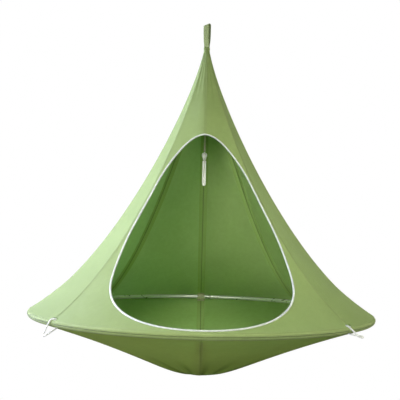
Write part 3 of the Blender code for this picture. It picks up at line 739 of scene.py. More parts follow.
class Sewing(Craft):
    """Makes the tent's cloth: both skins, the hem, the straps, the keepers and the webbing."""

    CONE_ROWS, BOWL_ROWS = 104, 72
    CONE_SLIT, BOWL_SLIT = 0.0194, 0.0222
    DOOR_CUT = (-0.9, -0.03)
    STRAP_HALF, STRAP_GAP, STRAP_THICKNESS = 0.020, 0.0002, 0.0010
    KEEPER_HALF, KEEPER_GAP, KEEPER_THICKNESS = 0.021, 0.0006, 0.0012
    EDGE_ROUNDING = 0.0003
    LINING_RADII = (0.0116, 0.0112)
    CONE_STRAP_ENDS, BOWL_STRAP_ENDS = (0.0245, 0.075), (0.038, 0.004)
    OVER_DOOR = 0.006
    TUCK_DEPTH, TUCK_SPREAD, FOLD, HEM_LIFE = 0.0009, 5.0, 0.0006, 0.0004
    HEM_LINE = -8.0
    HEM_STATIONS = (0.0, 0.0012, 0.0025, 0.005, 0.010)
    SEAM_COLUMNS = (0.0009, 0.002, 0.0042, 0.0066, 0.010)
    EVEN_COLUMNS = 16
    FRONT_SEAM_CLEAR = 0.0012
    GORE_WIDTH = 0.57

    def columns(self, width: float) -> list[float]:
        """A gore's columns as shares of its width, closer together beside its seams.

        Args:
            width: The gore's width.

        Returns:
            The shares from its first seam, without its last seam.
        """
        most = 0.40 / (len(self.SEAM_COLUMNS) + 1)
        near = [min(d / width, most * (k + 1)) for k, d in enumerate(self.SEAM_COLUMNS)]
        middle = even(near[-1], 1 - near[-1], self.EVEN_COLUMNS)
        return [0.0, *near, *middle[1:-1], *[1 - s for s in reversed(near)]]

    def skin(self, name: str, skin: Skin, rows: int, slot: Finish, tools: Sequence[Obj]) -> Obj:
        """A whole skin as one continuous sheet.

        Args:
            name: The piece's name, and its look's.
            skin: The skin's shape.
            rows: How many even rows it has past the hem.
            slot: The record's material slot.
            tools: The helpers that are cut out of it.

        Returns:
            The piece.
        """
        layers = Layers()
        for along in [*self.HEM_STATIONS, *even(0.018, skin.length, rows)]:
            width = skin.width(along)
            shares = self.columns(width)
            turns = [g * GORE_ANGLE + GORE_ANGLE * s for g in range(GORES) for s in shares]
            seams = []
            for turn in [*turns, 360.0]:
                off = (turn % GORE_ANGLE) / GORE_ANGLE
                clear = self.FRONT_SEAM_CLEAR * (skin is CONE and from_front(turn) < HALF_GORE)
                seams.append((min(off, 1 - off) * width + clear, along))
            outer, inner = ([skin.point(t, along, d) for t in turns] for d in (0.0, FABRIC))
            flat = [(t / GORE_ANGLE * self.GORE_WIDTH, along) for t in [*turns, 360.0]]
            layers.add(outer, inner, flat, seams)
        piece = self.maker.sheet(name, layers, cyclic=True)
        self.maker.cut(piece, tools)
        stem = "cone" if skin is CONE else "bowl"
        return self.maker.finished(piece, slot, name, [f"{stem}_gore_{side}" for side in SIDES])

    def doorway(self) -> Obj:
        """The helper that opens the doorway."""
        edge = door_outline(DOOR.piping * 0.3)
        return self.maker.helper(
            "doorway", *([Vector((p.x, y, p.z)) for p in edge] for y in self.DOOR_CUT)
        )

    def slits(self, reach: float) -> list[Obj]:
        """The round helpers that open the hem at the four joints, by how far they reach."""
        half = RING.slit_half - 0.0012
        made = []
        for joint in JOINTS:
            away = outward(seam_azimuth(joint))
            centre = away * RING.radius + UP * raised(0)
            ends = (centre - sideways(away) * half, centre + sideways(away) * half)
            made.append(self.maker.helper(
                f"slit_{joint}", *(circle(end, away, UP, reach, 48) for end in ends)
            ))
        return made

    def hem_band(self, index: int, quarter: str) -> None:
        """A length of the pocket of cloth round the tube's outside, between two slits.

        The cone's cloth seems to run down over it to a topstitched line on the tube's outer side.

        Args:
            index: Its number round the ring.
            quarter: The side that it is on.
        """
        low, high = BOWL_SLOPE - 90, 90 - CONE_SLOPE
        angles = even(low, high, 28)
        spread = [math.radians(a - low) * RING.hem for a in angles]
        line = math.radians(self.HEM_LINE - low) * RING.hem
        start, margin = 45.0 + 90 * index, RING.turn(RING.slit_half)

        def tuck(angle: float) -> float:
            """How far in the cloth lies at an angle, with its tuck at the topstitched line."""
            fold = self.FOLD if angle < self.HEM_LINE else 0.0
            off = (angle - self.HEM_LINE) / self.TUCK_SPREAD
            return self.TUCK_DEPTH * math.exp(-off ** 2) - fold

        layers = Layers()
        for turn in even(start + margin, start + 90 - margin, 72):
            outer, inner = [], []
            for i, angle in enumerate(angles):
                spot = Vector((turn * 0.35, i * 0.4, index))
                reach = RING.hem + self.HEM_LIFE * noise.noise(spot)
                outer.append(ring_point(turn, reach - tuck(angle), angle))
                inner.append(ring_point(turn, reach - FABRIC, angle))
            run = math.radians(turn) * RING.radius
            seam = [(min(s, abs(s - line)), run) for s in spread]
            layers.add(outer, inner, [(run, s) for s in spread], seam)
        piece = self.maker.sheet(f"hem_{quarter}", layers)
        self.maker.finished(piece, Finish.OUTER, "hem", [f"hem_band_{quarter}"])

    def slit_lining(self, joint: str) -> None:
        """The hem's under layer, which shows round the tube in a slit, behind the tie cord."""
        middle, half = seam_azimuth(joint), RING.turn(RING.slit_half + 0.004)
        angles = even(-80, 70, 20)
        layers = Layers()
        for k, turn in enumerate(even(middle - half, middle + half, 16)):
            rows = ([ring_point(turn, radius, a) for a in angles] for radius in self.LINING_RADII)
            flat = [(k * 0.0024, i * 0.0015) for i in range(len(angles))]
            layers.add(*rows, flat, [(0.02, 0.02)] * len(angles))
        piece = self.maker.sheet(f"slit_lining_{joint}", layers)
        self.maker.finished(piece, Finish.OUTER, "hem")

    def strap(self, name: str, skin: Skin, seam: str, first: float, last: float, node: str) -> None:
        """A woven strap over a seam inside.

        Args:
            name: The piece's name.
            skin: The skin that it lies on.
            seam: The seam's name.
            first: How far from the hem it starts.
            last: How far from the hem it ends.
            node: The CAD node that it stands for, or nothing.
        """
        across = mirrored((0.0, 0.08, 0.3, 0.62, 0.9, 0.975, 1.0))
        azimuth = seam_azimuth(seam)
        layers = Layers()
        for along in even(first, last, max(int((last - first) / 0.014), 4)):
            turn = skin.turn_for(along, self.STRAP_HALF, 0.155)
            wide = turn / GORE_ANGLE * skin.width(along)
            outer, inner = [], []
            for share in across:
                place = azimuth + 360 + turn * share
                top = self.STRAP_THICKNESS - self.EDGE_ROUNDING * thinned(share, 0.06)
                for row, extra in ((outer, top), (inner, 0.0)):
                    row.append(skin.point(place, along, FABRIC + self.STRAP_GAP + extra))
            layers.add_strip(outer, inner, across, wide, along)
        piece = self.maker.sheet(name, layers)
        if skin is CONE and seam in ("front_right", "front_left"):
            self.maker.cut(piece, [self.doorway()])
        self.maker.finished(piece, Finish.STRAP, "strap", [node] if node else [])

    def straps(self) -> None:
        """Every strap inside the cone and the bowl."""
        (cone_low, cone_top), (bowl_high, bowl_foot) = self.CONE_STRAP_ENDS, self.BOWL_STRAP_ENDS
        over_door = CONE.along_at(DOOR.top) + self.OVER_DOOR
        through = {"front": "bowl_strap_front_to_rear", "rear": ""}
        for seam in SEAMS:
            first, last = over_door if seam == "front" else cone_low, CONE.length - cone_top
            self.strap(f"cone_tape_{seam}", CONE, seam, first, last, f"cone_strap_{seam}")
            node, last = through.get(seam, f"bowl_strap_{seam}"), BOWL.length - bowl_foot
            self.strap(f"bowl_tape_{seam}", BOWL, seam, bowl_high, last, node)

    def keeper(self, seam: str) -> None:
        """A webbing keeper from the cone round the bare tube to the bowl."""
        half, gap = self.KEEPER_HALF, self.KEEPER_GAP
        middle, spread = seam_azimuth(seam) + 360, RING.turn(half)
        across = mirrored((0.0, 0.5, 0.85, 0.96, 1.0))
        path: list[tuple[Skin | None, float]] = [(CONE, d) for d in (0.026, 0.023, 0.018, 0.013)]
        path += [(None, a) for a in range(142, 222, 8)]
        path += [(BOWL, d) for d in (0.010, 0.016, 0.022, 0.030, 0.036)]
        layers, run = Layers(), 0.0
        for skin, place in path:
            outer, inner = [], []
            for share in across:
                turn = middle + spread * share
                top = self.KEEPER_THICKNESS - self.EDGE_ROUNDING * thinned(share, 0.08)
                for row, extra in ((outer, top), (inner, 0.0)):
                    if skin:
                        row.append(skin.point(turn, place, FABRIC + gap + extra))
                    else:
                        row.append(ring_point(turn, RING.tube + gap + extra, place))
            if layers.outer:
                run += (outer[4] - layers.outer[-1][4]).length
            layers.add_strip(outer, inner, across, half, run)
        piece = self.maker.sheet(f"keeper_{seam}", layers)
        self.maker.finished(piece, Finish.WEBBING, "keeper", [f"ring_keeper_{seam}"])

    def piping(self) -> None:
        """The white piping that binds the doorway's edge."""
        route = door_outline(0.0, 90)
        piece = self.maker.tube("piping", route, DOOR.piping * 0.86, sides=20, closed=True)
        self.maker.finished(piece, Finish.PIPING, "piping", ["door_piping"])

    def neck(self) -> None:
        """The neck, gathered from the eight seams to a flat sleeve round the webbing."""
        wide, deep, foot, top = 0.0132, 0.0028, 1.2152, 1.235
        levels, around = 16, 96
        layers = Layers()
        for i in range(levels + 1):
            rows: tuple[Line, Line] = ([], [])
            for k in range(around):
                turn = 360.0 * k / around
                away = outward(turn)
                fold = 0.0005 * math.sin(math.radians(turn) * 20) * math.sin(math.pi * i / levels)
                off = math.radians(turn % GORE_ANGLE - HALF_GORE)
                corner = math.cos(math.radians(HALF_GORE)) / math.cos(off)
                reach = away / max(abs(away.x) ** 6 + abs(away.y) ** 6, 1e-9) ** (1 / 6)
                for row, depth in zip(rows, (0.0, FABRIC)):
                    low = away * (NECK_RADIUS - depth) * corner
                    thick = FABRIC - depth
                    high = Vector((reach.x * (wide + thick), reach.y * (deep + thick), 0))
                    spot = low.lerp(high, smooth(i / levels)) + away * fold
                    spot.z = raised(foot + (top - foot) * i / levels)
                    row.append(spot)
            flat = [(k * 0.0009, i * 0.0012) for k in range(around + 1)]
            layers.add(*rows, flat, [(0.02, i * 0.0012)] * (around + 1))
        piece = self.maker.sheet("neck", layers, cyclic=True)
        self.maker.finished(piece, Finish.OUTER, "canopy", ["neck_wrap"])

    def hanging_loop(self) -> None:
        """The webbing loop, folded to an eye, with its tails in the neck."""
        thick, tail, middle = 0.0022, 0.0014, 0.0065
        top, foot = EYE_HEIGHT + 0.0011, 1.235
        front = [(tail, height) for height in (1.165, 1.190, 1.215, foot)]
        front += [(tail * 1.15, foot + 0.004), (tail * 1.6, foot + 0.012)]
        front += [
            (middle * share, foot + rise) for share, rise in
            ((0.52, 0.021), (0.72, 0.030), (0.9, 0.045), (1.0, 0.065), (1.0, 0.085))
        ]
        for angle in range(0, 90, 9):
            turn = math.radians(angle)
            front.append((middle * math.cos(turn), top - middle + middle * math.sin(turn)))
        back = [(-y, z) for y, z in reversed(front)]
        line = [np.array(p) for p in [*front, (0.0, top), *back]]
        across = mirrored((0.2, 0.6, 0.93, 0.985, 1.0))
        layers, run = Layers(), 0.0
        for i, spot in enumerate(line):
            before, after = line[max(i - 1, 0)], line[min(i + 1, len(line) - 1)]
            travel = (after - before) / np.linalg.norm(after - before)
            normal = np.array([travel[1], -travel[0]])
            run += float(np.linalg.norm(spot - before)) if i else 0.0
            rise = spot[1] - foot
            share = smooth((rise + 0.001) / 0.012)
            half = 0.0129 - share * 0.0014 + 0.0010 * smooth(rise / 0.114)
            lift = 0.45 * smooth(rise / (top - foot)) ** 3
            rows: tuple[Line, Line] = ([], [])
            for place in across:
                size, x = thick / 2 - 0.0004 * thinned(place, 0.05), place * half
                for row, side in zip(rows, (1, -1)):
                    y, z = spot + normal * size * side
                    row.append(Vector((x + 0.75 * share * y, y, raised(z + lift * x))))
            layers.add_strip(*rows, across, half, run)
        piece = self.maker.sheet("webbing_loop", layers)
        self.maker.finished(piece, Finish.LOOP, "loop", ["hanging_loop"])

    def build(self) -> tuple[Obj, Obj]:
        """Makes the cloth and the webbing up to the keepers, and gives the two skins."""
        opened = [self.doorway(), *self.slits(self.CONE_SLIT)]
        canopy = self.skin("canopy", CONE, self.CONE_ROWS, Finish.OUTER, opened)
        opened = self.slits(self.BOWL_SLIT)
        bowl = self.skin("bowl", BOWL, self.BOWL_ROWS, Finish.BOWL, opened)
        for index, quarter in enumerate(QUARTERS):
            self.hem_band(index, quarter)
        for joint in JOINTS:
            self.slit_lining(joint)
        self.straps()
        for seam in QUARTERS[:3]:
            self.keeper(seam)
        return canopy, bowl


class Bending(Craft):
    """Makes the ring's four tubes: round, bent in one curve, and plugged into each other."""

    SIDES = 40
    STEPS = 46
    SPIGOT_STEPS = 6

    @staticmethod
    def middle(azimuth: float) -> float:
        """How far the tube's middle is from the axis: straight past a joint, then on the circle."""
        past = (azimuth - GORE_ANGLE) % (2 * GORE_ANGLE)
        if past > RING.chord:
            return RING.radius
        half = math.radians(RING.chord / 2)
        return RING.radius * math.cos(half) / math.cos(math.radians(past) - half)

    def section(self, azimuth: float, radius: float) -> Line:
        """The points of the tube's round section at an azimuth."""
        points = []
        for k in range(self.SIDES):
            turn = 2 * math.pi * k / self.SIDES
            spot = outward(azimuth) * (self.middle(azimuth) + radius * math.cos(turn))
            spot.z = raised(radius * math.sin(turn))
            points.append(spot)
        return points

    def hole(self, joint: float) -> Obj:
        """The helper that opens a button's hole past the joint at an azimuth."""
        heading = outward(joint + RING.chord / 2)
        forward = sideways(heading)
        centre = outward(joint) * RING.radius + forward * RING.button_place
        return self.maker.helper(f"hole_{joint:.0f}", *(
            circle(centre + UP * raised(h), heading, forward, RING.button_hole, 24)
            for h in RING.hole_heights
        ))

    def tube(self, quarter: str) -> None:
        """The ring's tube on one side, with its spigot and its two holes."""
        first = seam_azimuth(quarter) - GORE_ANGLE
        last = first + 2 * GORE_ANGLE
        edge = RING.turn(RING.gap)
        neck, tip = last - RING.turn(RING.spigot_neck), last + RING.turn(RING.spigot_reach)
        bore = RING.tube - RING.wall
        rows = [(a, RING.tube, bore) for a in even(first + edge, neck, self.STEPS)]
        rows += [(a, RING.tube, RING.spigot_bore) for a in (neck + edge, last)]
        rows += [
            (a, RING.spigot, RING.spigot_bore) for a in even(last + edge, tip, self.SPIGOT_STEPS)
        ]
        layers = Layers()
        for azimuth, wide, narrow in rows:
            run, size = math.radians(azimuth) * RING.radius, 2 * math.pi * wide / self.SIDES
            flat = [(size * k, run) for k in range(self.SIDES + 1)]
            layers.add(self.section(azimuth, wide), self.section(azimuth, narrow), flat, flat)
        piece = self.maker.sheet(f"ring_tube_{quarter}", layers, cyclic=True)
        self.maker.cut(piece, [self.hole(first), self.hole(last)])
        self.maker.finished(piece, Finish.TUBE, "tube", [f"ring_section_{quarter}"])


class Stitcher(Craft):
    """Sews rows of stitches with one Geometry Nodes tree."""

    STITCH = (
        (-0.00135, 0.00016), (-0.0011, 0.00034), (0.0, 0.00042), (0.0011, 0.00034),
        (0.00135, 0.00016),
    )
    SLANT = 0.09
    PITCH, LOOP_PITCH = 0.0042, 0.0031
    LIFT, HEM_LIFT, DOOR_LIFT = 0.00018, 0.00045, 0.0003
    STATION = 0.012
    START = 0.024
    CONE_STOP, BOWL_STOP, DOOR_STOP = 0.004, 0.03, 0.012
    HEM_ROWS = (8, 20)
    LOOP_ROWS, LOOP_HALF, LOOP_DEPTH = (1.2372, 1.2396), 0.0124, 0.0029
    SEED_OF = {"cone": 3, "bowl": 5, "hem": 7, "door": 9, "loop": 11}

    def __init__(self, maker: Maker) -> None:
        """Makes the node tree and the stitch that it repeats.

        Args:
            maker: What makes and finishes the pieces.
        """
        super().__init__(maker)
        route = [Vector((x, 0, 0)) for x, _ in self.STITCH]
        self.stitch = maker.tube("stitch", route, [size for _, size in self.STITCH], 5)
        self.tree = self.wired()

    @staticmethod
    def wired() -> bpy.types.NodeTree:
        """A tree that lays stitches along the edges of a mesh, each turned a little at random."""
        tree = bpy.data.node_groups.new("stitch_row", "GeometryNodeTree")
        for name, kind in (
            ("Rows", "Geometry"), ("Stitch", "Object"), ("Pitch", "Float"), ("Slant", "Float"),
            ("Seed", "Int"), ("Thread", "Material"),
        ):
            tree.interface.new_socket(name, in_out="INPUT", socket_type="NodeSocket" + kind)
        tree.interface.new_socket("Stitches", in_out="OUTPUT", socket_type="NodeSocketGeometry")

        def add(
            kind: str, *numbered: object, choice: tuple[str, str] | None = None, **named: object,
        ) -> bpy.types.Node:
            node = tree.nodes.new(kind)
            if choice:
                setattr(node, *choice)
            for key, value in [*enumerate(numbered), *named.items()]:
                socket = node.inputs[key]
                if isinstance(value, Socket):
                    tree.links.new(value, socket)
                else:
                    socket.default_value = value
            return node

        given = add("NodeGroupInput").outputs
        curve = add("GeometryNodeMeshToCurve", Mesh=given["Rows"]).outputs[0]
        laid = add(
            "GeometryNodeResampleCurve", choice=("mode", "LENGTH"), Curve=curve,
            Length=given["Pitch"],
        ).outputs[0]
        tangent = add("GeometryNodeInputTangent").outputs[0]
        along = add("FunctionNodeAlignRotationToVector", choice=("axis", "X"), Vector=tangent)
        chance = add(
            "FunctionNodeRandomValue", choice=("data_type", "FLOAT"), Min=-1.0, Max=1.0,
            Seed=given["Seed"],
        )
        drawn = next(o for o in chance.outputs if o.type == "VALUE" and o.enabled)
        lean = add("ShaderNodeMath", drawn, given["Slant"], choice=("operation", "MULTIPLY"))
        spin = add("ShaderNodeCombineXYZ", Z=lean.outputs[0]).outputs[0]
        bend = add("FunctionNodeEulerToRotation", Euler=spin).outputs[0]
        turn = add(
            "FunctionNodeRotateRotation", along.outputs[0], bend,
            choice=("rotation_space", "LOCAL"),
        ).outputs[0]
        shape = add("GeometryNodeObjectInfo", Object=given["Stitch"]).outputs["Geometry"]
        many = add(
            "GeometryNodeInstanceOnPoints", Points=laid, Instance=shape, Rotation=turn,
        ).outputs[0]
        real = add("GeometryNodeRealizeInstances", Geometry=many).outputs[0]
        dyed = add("GeometryNodeSetMaterial", Geometry=real, Material=given["Thread"]).outputs[0]
        add("NodeGroupOutput", dyed)
        return tree

    def sew(
        self, part: str, rows: Sequence[Line], slot: Finish = Finish.OUTER,
        look: str = "thread", pitch: float = PITCH,
    ) -> None:
        """Sews stitches along rows of points.

        Args:
            part: What is sewn, which names the piece and gives the seed of its slants.
            rows: The rows that the needle followed.
            slot: The record's material slot.
            look: The thread's material.
            pitch: The distance from one stitch to the next.
        """
        name = f"{part}_stitches"
        mesh = bpy.data.meshes.new(name)
        spots, edges = [], []
        for row in rows:
            edges += [(len(spots) + k, len(spots) + k + 1) for k in range(len(row) - 1)]
            spots += [tuple(p) for p in row]
        mesh.from_pydata(spots, edges, [])
        piece = bpy.data.objects.new(name, mesh)
        step = piece.modifiers.new("stitches", "NODES")
        step.node_group = self.tree
        values = {
            "Stitch": self.stitch, "Pitch": pitch, "Slant": self.SLANT,
            "Seed": self.SEED_OF[part], "Thread": self.maker.looks[look],
        }
        for item in self.tree.interface.items_tree:
            if item.name in values:
                step[item.identifier] = values[item.name]
        bpy.context.scene.collection.objects.link(self.stitch)
        self.maker.applied(piece)
        bpy.context.scene.collection.objects.unlink(self.stitch)
        self.maker.finished(piece, slot, look)

    def seam_rows(self, skin: Skin, seams: Iterable[int], first: float, last: float) -> Grid:
        """The two rows of topstitching beside each of some seams.

        Args:
            skin: The skin that they are sewn on.
            seams: The seams' numbers.
            first: How far from the hem they start.
            last: How far from the hem they end.

        Returns:
            The rows.
        """
        stations = even(first, last, int((last - first) / self.STATION))
        turns = [(a, skin.turn_for(a, STITCH_OFF, 0.2)) for a in stations]
        return [
            [skin.point(seam * GORE_ANGLE + 360 + turn * side, a, -self.LIFT) for a, turn in turns]
            for seam in seams for side in (-1, 1)
        ]

    def build(self) -> None:
        """Sews every row of stitches that shows."""
        top, over_door = CONE.length - self.CONE_STOP, CONE.along_at(DOOR.top) + self.DOOR_STOP
        rows = self.seam_rows(CONE, range(1, GORES), self.START, top)
        rows += self.seam_rows(CONE, [0], over_door, top)
        self.sew("cone", rows)
        rows = self.seam_rows(BOWL, range(GORES), self.START, BOWL.length - self.BOWL_STOP)
        self.sew("bowl", rows, Finish.BOWL, "bowl_thread")
        margin, rows = RING.turn(RING.slit_half + 0.002), []
        for index in range(4):
            turns = even(45.0 + 90 * index + margin, 135.0 + 90 * index - margin, 90)
            for rise in self.HEM_ROWS:
                place = (RING.hem + self.HEM_LIFT, Sewing.HEM_LINE + rise)
                rows.append([ring_point(turn, *place) for turn in turns])
        self.sew("hem", rows)
        half, deep = self.LOOP_HALF, self.LOOP_DEPTH
        rows = [
            [Vector((x, y, raised(height))) for x in (-half, 0.0, half)]
            for height in self.LOOP_ROWS for y in (-deep, deep)
        ]
        self.sew("loop", rows, Finish.LOOP, "dark_thread", self.LOOP_PITCH)
        edge = door_outline(DOOR.piping + STITCH_OFF, 90)
        lift = self.DOOR_LIFT
        row = [p + Vector((p.x, p.y, 0)).normalized() * lift for p in [*edge, edge[0]]]
        self.sew("door", [row])


class Rigging(Craft):
    TIE_RADIUS = 0.003
    TIE_WRAP = 0.0149
    TIE_SPREAD = 0.011
    TIE_REACH = 0.058
    DROOP = {"front_right": 20.0, "rear_right": 45.0, "rear_left": 45.0, "front_left": 45.0}
    STRAND_RADIUS = 0.0045
    STRAND_TOP = 1.1602
    STRAND_FOOT = 0.7308
    KNOT_TOP = 0.726
    KNOT_FOOT = 0.688
    KNOT_NECK = (0.0052, 0.0052, 0.0050, 0.0048, 0.0046, 0.0044, 0.0043)
    KNOT_WIDE, KNOT_DEEP, KNOT_HIGH, KNOT_LIFT = 0.0030, -0.0046, 0.0058, 0.0026
    KNOT_STEPS, STRAND_STEPS = 150, 60
    SWAY = 0.0006
    LOOP_RADIUS = 0.0043
    LOOP_HALF = 0.0046
    LOOP_FOOT = 0.570
    GAP = 0.0003

    @staticmethod
    def eased(points: Line, pieces: int) -> Line:
        """Points read from a smooth curve through a route's own points.

        Args:
            points: The route's points.
            pieces: How many points are read from each to the next.

        Returns:
            The curve's points.
        """
        ends = [2 * points[0] - points[1], *points, 2 * points[-1] - points[-2]]
        found = []
        for a, b, c, d in zip(ends, ends[1:], ends[2:], ends[3:]):
            for k in range(pieces):
                t = k / pieces
                found.append(0.5 * (
                    2 * b + (c - a) * t + (2 * a - 5 * b + 4 * c - d) * t * t
                    + (3 * b - a - 3 * c + d) * t * t * t
                ))
        return [*found, points[-1]]

    @staticmethod
    def dome(spots: Line, sizes: list[float], size: float, way: int) -> None:
        """Rounds off the end of an upright tube.

        Args:
            spots: The tube's points, which are added to.
            sizes: Its radius at each, which are added to.
            size: The tube's radius there.
            way: 1 where the end points up, -1 where it points down.
        """
        end = spots[-1]
        for angle in (25, 45, 62, 76, 86):
            turn = math.radians(angle)
            spots.append(end + UP * (way * size * math.sin(turn)))
            sizes.append(size * math.cos(turn))

    def corded(
        self, piece: Obj, body: str, look: str, node: str, route: Line, radius: float, lay: str,
        far_end: str = "object", **more: object,
    ) -> None:
        """Args:
            piece: The cord.
            body: The body that it rides on.
            look: The name of its material.
            node: The CAD node that it stands for.
            route: Not used.
            radius: Not used.
            lay: Not used.
            far_end: Not used.
            **more: Not used.
        """
        self.maker.finished(piece, Finish.CORD, look, [node], body)

    def tie_route(self) -> Line:
        """A tie loop that points straight out, as outwards, along the ring and up."""
        wrap, spread, reach = self.TIE_WRAP, self.TIE_SPREAD, self.TIE_REACH
        route = []
        for angle, share in ((178, -0.03), (140, -0.4), (104, -0.85), (68, -1.0)):
            turn = math.radians(angle)
            route.append(Vector((wrap * math.cos(turn), share * spread, wrap * math.sin(turn))))
        route += [Vector((reach * r, -spread, wrap * h)) for r, h in ((0.45, 0.55), (0.70, 0.22))]
        for angle, rise in ((-80, 0.05), (-40, 0.025)):
            turn = math.radians(angle)
            x = reach - spread + spread * math.cos(turn)
            route.append(Vector((x, spread * math.sin(turn), wrap * rise)))
        back = [Vector((p.x, -p.y, -p.z)) for p in reversed(route)]
        return [*route, Vector((reach, 0, 0)), *back]

    def tie_loop(self, joint: str) -> None:
        """The braided loop that goes round the tube in one slit."""
        away = outward(seam_azimuth(joint))
        place = Matrix((away, sideways(away), UP)).transposed().to_4x4()
        place.translation = away * RING.radius + UP * raised(0)
        place = place @ Matrix.Rotation(math.radians(self.DROOP[joint]), 4, "Y")
        route = [place @ p for p in self.eased(self.tie_route(), 7)]
        piece = self.maker.tube(f"tie_cord_{joint}", route, self.TIE_RADIUS, sides=14)
        name = f"tie_loop_{joint}"
        self.corded(piece, name, "tie_cord", name, route, self.TIE_RADIUS, "loose")

    def strand(self, knot: Obj) -> None:
        """The single strand from the neck to its knot."""
        ball, steps, route = self.STRAND_RADIUS, self.STRAND_STEPS, []
        for k, height in enumerate(even(self.STRAND_TOP, self.STRAND_FOOT, steps)):
            sway = self.SWAY * math.sin(k / steps * 9) * math.sin(math.pi * k / steps)
            route.append(Vector((sway, 0.6 * sway, raised(height))))
        spots = [*route[:-1], route[-1] + UP * ball]
        sizes = [ball] * len(spots)
        self.dome(spots, sizes, ball, -1)
        piece = self.maker.tube("strand", spots, sizes, sides=18)
        self.corded(
            piece, "inner_cord", "strand", "inner_cord", route, ball, "hanging", "knot",
            with_pieces=[knot],
        )

    def knot(self) -> Obj:
        """The overhand knot, as the cord's own turns drawn tight."""
        middle = raised((self.KNOT_TOP + self.KNOT_FOOT) / 2)
        route = []
        for k in range(self.KNOT_STEPS):
            t = 2 * math.pi * k / self.KNOT_STEPS
            rise = self.KNOT_HIGH * (math.cos(t) - 2 * math.cos(2 * t))
            route.append(Vector((
                self.KNOT_WIDE * (math.sin(t) + 2 * math.sin(2 * t)),
                self.KNOT_DEEP * math.sin(3 * t), middle + rise + self.KNOT_LIFT,
            )))
        piece = self.maker.tube("knot", route, self.LOOP_RADIUS, closed=True)
        low, high = self.KNOT_TOP - 0.012, self.STRAND_FOOT - self.GAP - self.LOOP_RADIUS
        tail = [UP * raised(height) for height in even(low, high, 6)]
        sizes = list(self.KNOT_NECK)
        self.dome(tail, sizes, self.LOOP_RADIUS, 1)
        self.maker.merged(piece, self.maker.tube("knot_neck", tail, sizes))
        return self.maker.finished(piece, Finish.CORD, "cord", ["cord_knot"], "cord_loop")

    def loop(self) -> None:
        """The doubled cord below the knot."""
        half, radius = self.LOOP_HALF, self.LOOP_RADIUS
        bend = self.LOOP_FOOT + radius + half
        legs = even(self.KNOT_FOOT - self.GAP, bend, 14)
        points = [Vector((-half, 0, raised(height))) for height in legs]
        for angle in range(15, 180, 15):
            turn = math.radians(angle)
            points.append(Vector((-half * math.cos(turn), 0, raised(bend - half * math.sin(turn)))))
        points += [Vector((half, 0, raised(height))) for height in reversed(legs)]
        piece = self.maker.tube("cord_bight", points, radius, sides=18)
        self.corded(piece, "cord_loop", "cord", "cord_loop", points, radius, "hanging")

    def build(self) -> None:
        """Makes every cord."""
        self.strand(self.knot())
        self.loop()
        for joint in JOINTS:
            self.tie_loop(joint)


